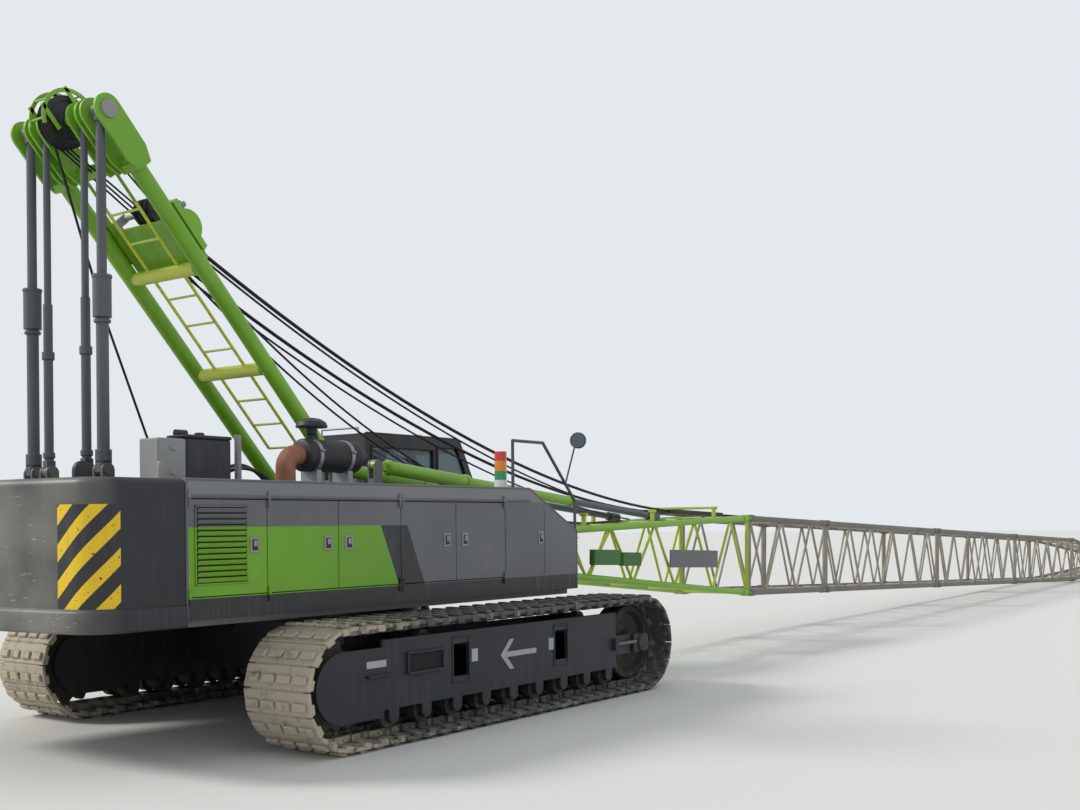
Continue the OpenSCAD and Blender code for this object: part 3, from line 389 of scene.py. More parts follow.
def add_node(tree: bpy.types.NodeTree, kind: str, *values: object, **settings: object) -> Socket:
    """Adds a node with its settings and links.

    Args:
        tree: The node tree that it is added to.
        kind: The node's type, without the word ShaderNode.
        *values: A socket or a plain value for each input in use, in their order.
        **settings: Properties of the node.

    Returns:
        The node's first output in use.
    """
    made = tree.nodes.new("ShaderNode" + kind)
    for key, value in settings.items():
        setattr(made, key, value)
    for entry, value in zip([s for s in made.inputs if s.enabled], values):
        feed(tree, entry, value)
    return next(s for s in made.outputs if s.enabled)


def blotches(put: Put, place: Socket, size: float, detail: float = 4.0,
             stretch: Point = (1, 1, 1)) -> Socket:
    """Gives a noise of real size: noise(place / (size stretch)), which swings round 0.5.

    Args:
        put: Adds a node.
        place: Coordinates in metres.
        size: Width of a blotch, in metres.
        detail: Number of finer layers.
        stretch: How much longer the blotches are along each axis.

    Returns:
        The noise's socket.
    """
    scale = tuple(1 / (size * s) for s in stretch)
    return put("TexNoise", put("Mapping", place, None, None, scale), 1.0, detail)


@dataclass(frozen=True)
class Finish:
    """A surface finish: sprayed enamel over steel, unless a subclass says otherwise.

    Sprayed machine enamel is even and half glossy. Outdoors it fades in wide patches, rain
    draws grey streaks down it, and dust settles on top. Sizes that end in _m are metres, and
    a span that ends in _at says between which values of a noise a pattern sets in.
    """

    name: str
    base: str
    faded: str
    dust: str = "#8d8a82"
    slot: str = ""
    dirt: float = 0.3
    rough: float = 0.42
    metal: float = 0.0
    coat: float = 0.0
    patch_m: float = 0.9
    streak_m: float = 0.05
    streak_long: float = 14.0
    grain_m: float = 0.012
    bump: float = 0.12
    edge_m: float = 0.006
    fade_at: Span = (0.35, 0.7)
    wet_at: Span = (0.52, 0.72)
    soil_at: Span = (0.4, 0.62)
    level_at: Span = (0.5, 0.95)
    settle_at: Span = (0.25, 0.65, 0.35, 1.0)

    def material(self) -> bpy.types.Material:
        """Gives the material, made on first use.

        Returns:
            The material named for this finish.
        """
        found = bpy.data.materials.get(self.name)
        if found:
            return found
        made = bpy.data.materials.new(self.name)
        made.use_nodes = True
        tree = made.node_tree
        put = partial(add_node, tree)
        place = put("TexCoord").node.outputs["Object"]
        shader = tree.nodes["Principled BSDF"]
        for entry, value in self.dress(put, place).items():
            feed(tree, shader.inputs[entry], value)
        return made

    def paint(self, put: Put, place: Socket) -> Socket:
        """Gives the clean colour, faded in wide patches.

        Args:
            put: Adds a node.
            place: Coordinates in metres.

        Returns:
            A colour socket.
        """
        patch = put("MapRange", blotches(put, place, self.patch_m), *self.fade_at)
        return put("Mix", patch, colour(self.base), colour(self.faded), data_type="RGBA")

    def dress(self, put: Put, place: Socket) -> dict[str, object]:
        """Works out the shader's inputs: soil is streaks times patches, or dust on what looks up.

        Args:
            put: Adds a node.
            place: Coordinates in metres.

        Returns:
            A socket or a value for each named input of the Principled shader.
        """
        streak = blotches(put, place, self.streak_m, 3.0, (1, 1, self.streak_long))
        wide = blotches(put, place, self.patch_m * 0.6, 5.0)
        soil = put("Math", put("MapRange", streak, *self.wet_at),
                   put("MapRange", wide, *self.soil_at), operation="MULTIPLY")
        facing = put("SeparateXYZ", put("NewGeometry").node.outputs["Normal"]).node.outputs["Z"]
        settled = put("Math", put("MapRange", facing, *self.level_at),
                      put("MapRange", wide, *self.settle_at), operation="MULTIPLY")
        worst = put("Math", soil, settled, operation="MAXIMUM")
        amount = put("Math", worst, self.dirt, operation="MULTIPLY")
        dulled = put("Math", amount, put("Math", wide, 0.3, operation="MULTIPLY"), operation="ADD")
        glossy, dull = self.rough - 0.06, min(self.rough + 0.4, 1.0)
        return {
            "Base Color": put("Mix", amount, self.paint(put, place), colour(self.dust),
                              data_type="RGBA"),
            "Roughness": put("MapRange", dulled, 0.0, 0.8, glossy, dull),
            "Metallic": self.metal,
            "Coat Weight": self.coat,
            "Normal": self.relief(put, place),
        }

    def relief(self, put: Put, place: Socket) -> Socket:
        """Adds a fine grain, on edges that are broken by a small radius.

        Args:
            put: Adds a node.
            place: Coordinates in metres.

        Returns:
            The bumped normal's socket.
        """
        grain = blotches(put, place, self.grain_m, 2.0)
        edge = put("Bevel", self.edge_m, samples=3)
        return put("Bump", self.bump, self.grain_m * 0.2, None, grain, edge)


@dataclass(frozen=True)
class HoodEnamel(Finish):
    """Enamel of the hood's side: a lime field, a dark slanted stripe, grey, and a dark foot band.

    The borders are lines in the side view: lines of X - slope Z, and three heights.
    """

    lime: str = "#649f0a"
    lime_faded: str = "#6fa816"
    lime_at: Span = (0.3, 0.7)
    lime_m: float = 0.7
    stripe: str = "#1b1f23"
    foot: str = "#1d2125"
    foot_z: float = 1.322
    field_z: float = 1.876
    slope: float = -0.433
    field_x: float = -0.56
    stripe_w: float = 0.355
    band: str = "#85888a"
    band_z: float = 2.106
    band_share: float = 0.6

    def paint(self, put: Put, place: Socket) -> Socket:
        """Gives the colour fields of the hood's side.

        Args:
            put: Adds a node.
            place: Coordinates in metres.

        Returns:
            A colour socket.
        """
        x, _, z = put("SeparateXYZ", place).node.outputs
        line = put("Math", z, -self.slope, x, operation="MULTIPLY_ADD")
        low = put("Math", z, self.field_z, operation="LESS_THAN")
        inside = []
        for border in (self.field_x + self.stripe_w, self.field_x):
            before = put("Math", line, border, operation="LESS_THAN")
            inside.append(put("Math", low, before, operation="MULTIPLY"))
        patch = put("MapRange", blotches(put, place, self.lime_m), *self.lime_at)
        lime = put("Mix", patch, colour(self.lime), colour(self.lime_faded), data_type="RGBA")
        above = put("Math", z, self.band_z, operation="GREATER_THAN")
        above = put("Math", above, self.band_share, operation="MULTIPLY")
        below = put("Math", z, self.foot_z, operation="LESS_THAN")
        tint = super().paint(put, place)
        for share, over in ((above, colour(self.band)), (inside[0], colour(self.stripe)),
                            (inside[1], lime), (below, colour(self.foot))):
            tint = put("Mix", share, tint, over, data_type="RGBA")
        return tint


@dataclass(frozen=True)
class GantryEnamel(Finish):
    """Gantry lime; the cross tubes and ladder are a yellower lime, lightened as painted sunlight.
    """

    # A yellower lime paint, made lighter as a painted highlight of sunlight on the cross tubes.
    cross: str = "#cbd94a"
    cross_y: float = 0.425
    cross_z: float = 4.7

    def paint(self, put: Put, place: Socket) -> Socket:
        """Gives the yellower lime between the legs, lightened as painted sunlight.

        Args:
            put: Adds a node.
            place: Coordinates in metres.

        Returns:
            A colour socket.
        """
        _, y, z = put("SeparateXYZ", place).node.outputs
        aside = put("Math", y, operation="ABSOLUTE")
        near = put("Math", aside, self.cross_y, operation="LESS_THAN")
        low = put("Math", z, self.cross_z, operation="LESS_THAN")
        between = put("Math", near, low, operation="MULTIPLY")
        return put("Mix", between, super().paint(put, place), colour(self.cross), data_type="RGBA")


@dataclass(frozen=True)
class StripedEnamel(Finish):
    """Slate enamel with a field of diagonal yellow and black warning stripes at two corners.

    The pattern reads the piece's own UV map, where U is the way round the block and V the
    height, both in metres; the stripes are lines of V - U. The rear face is powdered with
    pale dust, in which thin scratches lie.
    """

    yellow: str = "#e8c312"
    black: str = "#24272b"
    field_u: Span = (1.22, 1.73)
    field_v: Span = (1.29, 2.05)
    pitch: float = 0.266
    offset: float = 10.46
    share: float = 0.48
    rub_m: float = 0.03
    rub_at: Span = (0.66, 0.7)
    powder: str = "#85827a"
    powder_x: Span = (-4.1, -4.42)
    powder_m: float = 0.5
    powder_at: Span = (0.3, 0.62, 0.25, 0.75)
    scratch: str = "#b5b1a6"
    scratch_m: float = 0.012
    scratch_long: Point = (1, 46, 1.6)
    scratch_at: Span = (0.71, 0.74)

    def paint(self, put: Put, place: Socket) -> Socket:
        """Gives slate enamel with dust, scratches and the two striped fields.

        Args:
            put: Adds a node.
            place: Coordinates in metres.

        Returns:
            A colour socket.
        """
        field, bars = self.stripes(put)
        rubbed = put("MapRange", blotches(put, place, self.rub_m, 6.0), *self.rub_at)
        bars = put("Mix", rubbed, bars, colour(self.base), data_type="RGBA")
        x = put("SeparateXYZ", place)
        cloud = put("MapRange", blotches(put, place, self.powder_m, 6.0), *self.powder_at)
        dusty = put("Math", put("MapRange", x, *self.powder_x), cloud, operation="MULTIPLY")
        lines = blotches(put, place, self.scratch_m, 1.0, self.scratch_long)
        lines = put("MapRange", lines, *self.scratch_at)
        lines = put("Math", lines, dusty, operation="MULTIPLY")
        tint = super().paint(put, place)
        for share, over in ((dusty, colour(self.powder)), (lines, colour(self.scratch)),
                            (field, bars)):
            tint = put("Mix", share, tint, over, data_type="RGBA")
        return tint

    def stripes(self, put: Put) -> tuple[Socket, Socket]:
        """Draws the stripes: fract((v - |u|) / pitch + offset) < share is yellow.

        Args:
            put: Adds a node.

        Returns:
            A socket that is 1 inside the two fields, and the stripes' colour.
        """
        u, v, _ = put("SeparateXYZ", put("UVMap")).node.outputs
        around = put("Math", u, operation="ABSOLUTE")
        field = 1.0
        for value, (low, high) in ((around, self.field_u), (v, self.field_v)):
            for limit, side in ((low, "GREATER_THAN"), (high, "LESS_THAN")):
                inside = put("Math", value, limit, operation=side)
                field = put("Math", inside, field, operation="MULTIPLY")
        phase = put("Math", v, around, operation="SUBTRACT")
        phase = put("Math", phase, self.pitch, operation="DIVIDE")
        phase = put("Math", phase, self.offset, operation="ADD")
        bar = put("Math", put("Math", phase, operation="FRACT"), self.share, operation="LESS_THAN")
        return field, put("Mix", bar, colour(self.black), colour(self.yellow), data_type="RGBA")


@dataclass(frozen=True)
class LampLens(Finish):
    """Coloured acrylic lenses, one above the other: clear, green, amber and red."""

    foot_z: float = 2.25
    bands: tuple[tuple[float, str], ...] = (
        (0.09, "#1f9a63"), (0.185, "#f08a1c"), (0.29, "#d8322c"))

    def paint(self, put: Put, place: Socket) -> Socket:
        """Gives one colour for each height band.

        Args:
            put: Adds a node.
            place: Coordinates in metres.

        Returns:
            A colour socket.
        """
        z = put("SeparateXYZ", place).node.outputs["Z"]
        tint = super().paint(put, place)
        for rise, code in self.bands:
            above = put("Math", z, self.foot_z + rise, operation="GREATER_THAN")
            tint = put("Mix", above, tint, colour(code), data_type="RGBA")
        return tint


@dataclass(frozen=True)
class CastSteel(Finish):
    """Cast manganese steel of shoes and wheels: a coarse skin, packed with dried mud.

    More beige mud is laid towards the rear of the tracks, as a painted highlight of the sun on
    their rear.
    """

    mud: str = "#c6bca6"
    mud_share: float = 0.8
    clod_m: float = 0.09
    clod_at: Span = (0.55, 0.86)
    # The rear span and its extra mud share paint the sunlit rear of the tracks lighter.
    sunlit_rear_x: Span = (-1.3, -2.5)
    painted_sun_more: float = 0.42

    def paint(self, put: Put, place: Socket) -> Socket:
        """Gives steel under mud, with more mud towards the rear as painted sunlight.

        Args:
            put: Adds a node.
            place: Coordinates in metres.

        Returns:
            A colour socket.
        """
        clods = blotches(put, place, self.clod_m, 8.0)
        # Painted sunlight: the mud share grows towards the rear, where the sun falls on the tracks.
        rear = put("MapRange", put("SeparateXYZ", place), *self.sunlit_rear_x, 0.0, self.painted_sun_more)
        caked = put("Math", clods, rear, operation="ADD")
        share = put("MapRange", caked, *self.clod_at, 0.0, self.mud_share)
        return put("Mix", share, super().paint(put, place), colour(self.mud), data_type="RGBA")


@dataclass(frozen=True)
class WireRope(Finish):
    """Greased steel wire rope: strands laid in a helix, drawn at four times their width to show."""

    lay_m: float = 0.12
    strands: float = 3.0
    strand_m: float = 0.004
    strand_bump: float = 0.8
    grit: float = 0.2

    def relief(self, put: Put, place: Socket) -> Socket:
        """Lays strands round the rope: |sin(strands pi (u + v / lay))| of the UV map, plus grit.

        Args:
            put: Adds a node.
            place: Coordinates in metres.

        Returns:
            The bumped normal's socket.
        """
        u, v, _ = put("SeparateXYZ", put("UVMap")).node.outputs
        turns = put("Math", u, put("Math", v, self.lay_m, operation="DIVIDE"), operation="ADD")
        angle = put("Math", turns, self.strands * math.pi, operation="MULTIPLY")
        wave = put("Math", put("Math", angle, operation="SINE"), operation="ABSOLUTE")
        grain = blotches(put, place, self.grain_m, 2.0)
        height = put("Math", grain, self.grit, wave, operation="MULTIPLY_ADD")
        return put("Bump", self.strand_bump, self.strand_m, None, height)


@dataclass(frozen=True)
class WovenCloth(Finish):
    """Woven seat fabric: crossed threads, drawn 6 mm apart so that they show."""

    thread_m: float = 0.006
    thread_bump: float = 0.5
    thread_deep_m: float = 0.001

    def relief(self, put: Put, place: Socket) -> Socket:
        """Crosses sine waves as warp and weft: sin y sin z + sin x sin y.

        Args:
            put: Adds a node.
            place: Coordinates in metres.

        Returns:
            The bumped normal's socket.
        """
        angles = [put("Math", axis, TAU / self.thread_m, operation="MULTIPLY")
                  for axis in put("SeparateXYZ", place).node.outputs]
        x, y, z = (put("Math", angle, operation="SINE") for angle in angles)
        weave = put("Math", y, z, put("Math", x, y, operation="MULTIPLY"), operation="MULTIPLY_ADD")
        return put("Bump", self.thread_bump, self.thread_deep_m, None, weave)


@dataclass(frozen=True)
class SafetyGlass(Finish):
    """Tinted laminated glass: a clear pane with a film of dust."""

    film_m: float = 0.3
    film_at: Span = (0.4, 0.8, 0.02, 0.22)
    clear: float = 0.85

    def dress(self, put: Put, place: Socket) -> dict[str, object]:
        """Works out the shader's inputs: light goes through, and dust roughens the pane.

        Args:
            put: Adds a node.
            place: Coordinates in metres.

        Returns:
            A socket or a value for each named input of the Principled shader.
        """
        film = put("MapRange", blotches(put, place, self.film_m, 6.0), *self.film_at)
        tint = put("Mix", film, colour(self.base), colour(self.faded), data_type="RGBA")
        return {"Base Color": tint, "Roughness": film, "Transmission Weight": self.clear}


# Sprayed enamel on steel plate and tube: smooth and half glossy, dulled by dust and rain.
LIME = Finish("lime_sprayed_enamel", "#76ac20", "#86b930", "#93907f", "green_paint", coat=0.15)
LIME_TUBE = Finish("yellow_lime_enamel", "#a4b82c", "#b3c443", "#93907f", "green_paint", dirt=0.2)
GANTRY_PAINT = GantryEnamel("gantry_lime_enamel", "#6ca518", "#7cb52a", "#93907f", "green_paint",
                            dirt=0.2, coat=0.15)
GREY = Finish("grey_sprayed_enamel", "#5d6063", "#66696b", "#8e8b84", "grey_paint", coat=0.1)
PALE = Finish("pale_grey_enamel", "#8b8d8d", "#989a99", "#8a857a", "light_paint")
HOOD = HoodEnamel("hood_side_enamel", "#5d6063", "#66696b", "#8e8b84", "grey_paint", coat=0.1)
BAR_PAINT = Finish("stay_grey_enamel", "#4e5258", "#575b61", "#5a5650", "light_paint", dirt=0.25)
RAIL = Finish("dark_rail_enamel", "#45484c", "#505357", "#7b776e", "dark_paint")
BOX_GREEN = Finish("dark_green_box_enamel", "#2d6420", "#38712a", "#6b675a", "green_paint",
                   dirt=0.4)
# Slate enamel is nearly black: it shows by its soft shine and by pale dust in its corners.
SLATE = Finish("slate_sprayed_enamel", "#1b1f24", "#24282d", "#6b675e", "dark_paint")
FRAME_PAINT = Finish("slate_frame_enamel", "#24282d", "#2d3136", "#67635a", "grey_paint", dirt=0.4,
                     rough=0.55)
WEIGHT = StripedEnamel("counterweight_enamel", "#181c21", "#1f2328", "#67635b", "dark_paint",
                       dirt=0.22)
# Old enamel on the boom: matt, faded unevenly, and brown where rust has come through.
BOOM_PAINT = Finish("weathered_grey_enamel", "#6f6d68", "#7d7a73", "#6b5a48", "light_paint",
                    dirt=0.5, rough=0.6)
WORN_TUBE = Finish("worn_lacing_tube", "#8d887d", "#a39e94", "#775c45", "light_paint", dirt=0.55,
                   rough=0.65, patch_m=0.35, streak_m=0.03)
WHITE_MARK = Finish("stencilled_white_paint", "#b9babb", "#a5a6a6", "#77746c", "light_paint",
                    dirt=0.45, rough=0.6)
# Cast steel has a coarse grey skin; mud fills its hollows, and wheels stay darker with oil.
SHOE = CastSteel("cast_shoe_steel", "#454647", "#585858", "#85817a", "track_steel", dirt=0.5,
                 rough=0.75, bump=0.5, grain_m=0.03, edge_m=0.004)
WHEEL = CastSteel("cast_wheel_steel", "#2b2a29", "#383634", "#6f675a", "sheave_steel", rough=0.7,
                  mud_share=0.15, bump=0.4, grain_m=0.02)
# Grease makes cast iron and wire rope almost black, with a wet sheen that catches dust.
GREASED = Finish("greased_cast_iron", "#1d1e20", "#292a2c", "#4a453c", "sheave_steel", dirt=0.35,
                 rough=0.4)
ROPE = WireRope("greased_wire_rope", "#17181a", "#232426", "#3c3831", "rope_steel", rough=0.55,
                metal=0.4)
IRON = Finish("engine_block_enamel", "#39434a", "#424d54", "#5c574d", "engine_iron", dirt=0.4,
              rough=0.6)
# Zinc is a pale, cloudy metal; thin plating on bolts is browner and reflects less evenly.
ZINC = Finish("galvanised_steel", "#8a8d90", "#9a9d9f", "#7b776e", "galvanised", metal=0.7,
              rough=0.45)
BOLT = Finish("plated_bolt_steel", "#6b6a66", "#7c7a75", "#5b5347", "galvanised", metal=0.6,
              rough=0.5, edge_m=0.001)
# Bare steel that was heated turns a patchy red brown without any shine.
RUST = Finish("heat_stained_steel", "#8d5743", "#a56f58", "#6b4a3a", "exhaust_steel", dirt=0.5,
              rough=0.7, patch_m=0.12, bump=0.3)
# Moulded plastic is evenly black and soft in its shine; slot black is painted shade for slots and
# hollows.
BLACK = Finish("moulded_black_plastic", "#191b1e", "#24262a", "#6a665d", "black_plastic",
               dirt=0.25, rough=0.5)
PAINTED_SHADE = Finish("painted_shade_slot_black", "#0c0d0f", "#131417", "#2a2925", "black_plastic",
                  dirt=0.1, rough=0.8)
# Acrylic is glossy and strongly coloured; the cab's glass is tinted and filmed with dust.
LENS = LampLens("acrylic_lamp_lens", "#e6e6e2", "#efefec", "#b0aca2", "lamp_lens", dirt=0.12,
                rough=0.25, coat=0.5)
AMBER = Finish("amber_lamp_acrylic", "#e8861d", "#ee9430", "#b0aca2", "lamp_lens", dirt=0.1,
               rough=0.2, coat=0.5)
GLASS = SafetyGlass("tinted_safety_glass", "#8fa3ab", "#9a978c", slot="glass")
# The mirror's dark grey is a painted reflection of dark surroundings; seat fabric is black with a
# fine weave.
MIRROR = Finish("silvered_mirror_glass", "#565c62", "#626870", "#7d7a72", "rod_chrome", dirt=0.2,
                metal=1.0, rough=0.1)
CLOTH = WovenCloth("woven_seat_fabric", "#222427", "#2b2d31", "#5d5a52", "seat_fabric", dirt=0.2,
                   rough=0.9)


@dataclass
class Camera:
    """The photograph's camera, worked out from the machine's straight edges."""

    place: Point = (-9.6072, -9.3491, 1.8802)
    yaw: float = 35.95
    pitch: float = 0.08
    roll: float = -0.55
    lens_mm: float = 41.37
    sensor_mm: float = 36.0
    shift_y: float = 0.108
    clip_end: float = 500.0

    def make(self) -> None:
        """Places the camera: its axes are the look direction, right and up, turned by the roll."""
        yaw, pitch, roll = (math.radians(a) for a in (self.yaw, self.pitch, self.roll))
        flat = math.cos(pitch)
        look = np.array([flat * math.cos(yaw), flat * math.sin(yaw), math.sin(pitch)])
        right = unit(np.cross(look, [0.0, 0.0, 1.0]))
        up = np.cross(right, look)
        level = math.cos(roll) * right + math.sin(roll) * up
        head = math.cos(roll) * up - math.sin(roll) * right
        data = bpy.data.cameras.new("photo_camera")
        data.sensor_width = self.sensor_mm
        data.lens = self.lens_mm
        data.shift_y = self.shift_y
        data.clip_end = self.clip_end
        made = bpy.data.objects.new("photo_camera", data)
        bpy.context.scene.collection.objects.link(made)
        columns = np.column_stack([level, head, -look, self.place])
        made.matrix_world = Matrix(np.vstack([columns, [0, 0, 0, 1]]).tolist())
        bpy.context.scene.camera = made


@dataclass
class Studio:
    """A plain pale floor and plain soft light, brighter from the rear left as outdoors."""

    floor_size: float = 400.0
    floor_colour: str = "#d8d8d5"
    floor_rough: float = 0.9
    backdrop_colour: str = "#e4e9ee"
    sky_colour: str = "#eef2f6"
    sky_strength: float = 0.75
    sun_colour: Point = (1.0, 0.96, 0.9)
    sun_strength: float = 2.1
    sun_softness: float = 12.0
    sun_turn: Point = (52.0, 0.0, -142.0)

    def make(self) -> None:
        """Makes the floor, the world and the lamp."""
        scene = bpy.context.scene
        scene.view_settings.view_transform = "Standard"
        half = self.floor_size / 2
        mesh = bpy.data.meshes.new("floor")
        corners = [(-half, -half, 0), (half, -half, 0), (half, half, 0), (-half, half, 0)]
        mesh.from_pydata(corners, [], [(0, 1, 2, 3)])
        material = bpy.data.materials.new("pale_studio_floor")
        material.use_nodes = True
        shader = material.node_tree.nodes["Principled BSDF"]
        shader.inputs["Base Color"].default_value = colour(self.floor_colour)
        shader.inputs["Roughness"].default_value = self.floor_rough
        mesh.materials.append(material)
        floor = bpy.data.objects.new("floor", mesh)
        scene.collection.objects.link(floor)
        world = bpy.data.worlds.new("studio")
        scene.world = world
        world.use_nodes = True
        tree = world.node_tree
        light = tree.nodes["Background"]
        light.inputs["Color"].default_value = colour(self.sky_colour)
        light.inputs["Strength"].default_value = self.sky_strength
        put = partial(add_node, tree)
        rays = put("LightPath").node.outputs
        glass = put("Math", rays["Is Glossy Ray"], rays["Is Transmission Ray"], operation="MAXIMUM")
        seen = put("Math", rays["Is Camera Ray"], glass, operation="MAXIMUM")
        shown = put("Background", colour(self.backdrop_colour), 1.0)
        mixed = put("MixShader", seen, light.outputs["Background"], shown)
        tree.links.new(mixed, tree.nodes["World Output"].inputs["Surface"])
        lamp = bpy.data.lights.new("soft_sun", "SUN")
        lamp.energy = self.sun_strength
        lamp.angle = math.radians(self.sun_softness)
        lamp.color = self.sun_colour
        sun = bpy.data.objects.new("soft_sun", lamp)
        sun.rotation_euler = [math.radians(a) for a in self.sun_turn]
        scene.collection.objects.link(sun)


@dataclass
class TrackChain:
    """One crawler track: a closed chain of cast shoes on two rows of links.

    The chain runs round two end circles, so a shoe's place is a point of a stadium curve
    and its own axes are the curve's tangent, the Y axis and the outward normal.
    """

    side: Side
    shoes: int = 60
    bar: float = 0.028
    plate_t: float = 0.032
    chain_t: float = 0.095
    link_y: float = 0.13
    link_t: float = 0.034
    pad_y: Span = (-0.36, -0.12, 0.12, 0.36)

    def make(self) -> None:
        """Makes the chain in place of its plain loop."""
        node = "track_left" if self.side is Side.LEFT else "track_right"
        low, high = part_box(node)
        radius = (high.z - low.z) / 2
        half_run = (high.x - low.x) / 2 - radius
        middle = np.array([(low.x + high.x) / 2, (low.y + high.y) / 2, low.z + radius])
        width = high.y - low.y
        turned = radius - self.bar
        length = 4 * half_run + TAU * turned
        pitch = length / self.shoes
        shoe = self.shoe(pitch, width)
        places, turns = self.stations(half_run, turned, length)
        chain = Shape()
        chain.copies(shoe, turns, middle + places)
        chain.piece(node + "_shoes", SHOE, "undercarriage", replaces=(node,))

    def stations(self, half_run: float, radius: float,
                 length: float) -> tuple[np.ndarray, np.ndarray]:
        """Finds each shoe's place and axes on the stadium curve.

        Args:
            half_run: Half the distance between the end circles.
            radius: Radius of the shoes' base round the end circles.
            length: Length of the whole loop.

        Returns:
            Places from the loop's middle, and matrices with tangent, Y and normal as columns.
        """
        s = (np.arange(self.shoes) + 0.5) * length / self.shoes
        turn = math.pi * radius
        straight = 2 * half_run
        legs = [s < straight, s < straight + turn, s < 2 * straight + turn]
        rear = np.pi / 2 + (s - straight) / radius
        front = 1.5 * np.pi + (s - 2 * straight - turn) / radius
        angle = np.select(legs, [0 * s + np.pi / 2, rear, 0 * s + 1.5 * np.pi], front)
        back = s - half_run - straight - turn
        run = np.select(legs, [half_run - s, 0 * s - half_run, back], half_run)
        normal = np.stack([np.cos(angle), np.zeros_like(s), np.sin(angle)], axis=1)
        tangent = np.stack([-np.sin(angle), np.zeros_like(s), np.cos(angle)], axis=1)
        places = normal * radius + np.stack([run, 0 * s, 0 * s], axis=1)
        across = np.broadcast_to([0.0, 1.0, 0.0], normal.shape)
        return places, np.stack([tangent, across, normal], axis=2)

    def shoe(self, pitch: float, width: float) -> Shape:
        """Makes one shoe: a plate with a lip, raised pads, side lugs and a pair of links.

        Args:
            pitch: Distance between shoes.
            width: Width of the track.

        Returns:
            The shoe, its plate's top at the origin.
        """
        made = Shape()
        t = self.plate_t
        made.blocks([0, 0, -t / 2], [pitch * 0.93, width, t], 0.006)
        made.blocks([-pitch * 0.43, 0, -t * 0.9], [pitch * 0.2, width * 0.8, t], 0.005)
        pads = [[pitch * 0.08, share * width, self.bar / 2] for share in self.pad_y]
        made.blocks(pads, [pitch * 0.34, width * 0.19, self.bar], 0.007)
        lugs = [[pitch * 0.2, e * (width / 2 - 0.03), -t * 1.2] for e in (-1, 1)]
        made.blocks(lugs, [pitch * 0.42, 0.06, t * 1.1], 0.006)
        depth = self.chain_t - t
        links = [[shift * pitch, e * (self.link_y - step), -t - depth / 2]
                 for e in (-1, 1) for shift, step in ((-0.22, 0.0), (0.24, 0.028))]
        made.blocks(links, [pitch * 0.62, self.link_t, depth - 0.002], 0.004)
        x, y, z = pitch * 0.02, self.link_y + 0.03, -t - depth * 0.55
        made.rods([x, -y, z], [x, y, z], depth * 0.28)
        return made


def disc(bore: float, radius: float, low: float, high: float) -> list[Pair]:
    """Gives the profile of a plain ring between two heights."""
    return [(bore, low), (radius, low), (radius, high), (bore, high)]


def mirrored(half: list[Pair]) -> list[Pair]:
    """Completes a profile with its own mirror image across the height zero."""
    return half + [(r, -h) for r, h in half[::-1]]


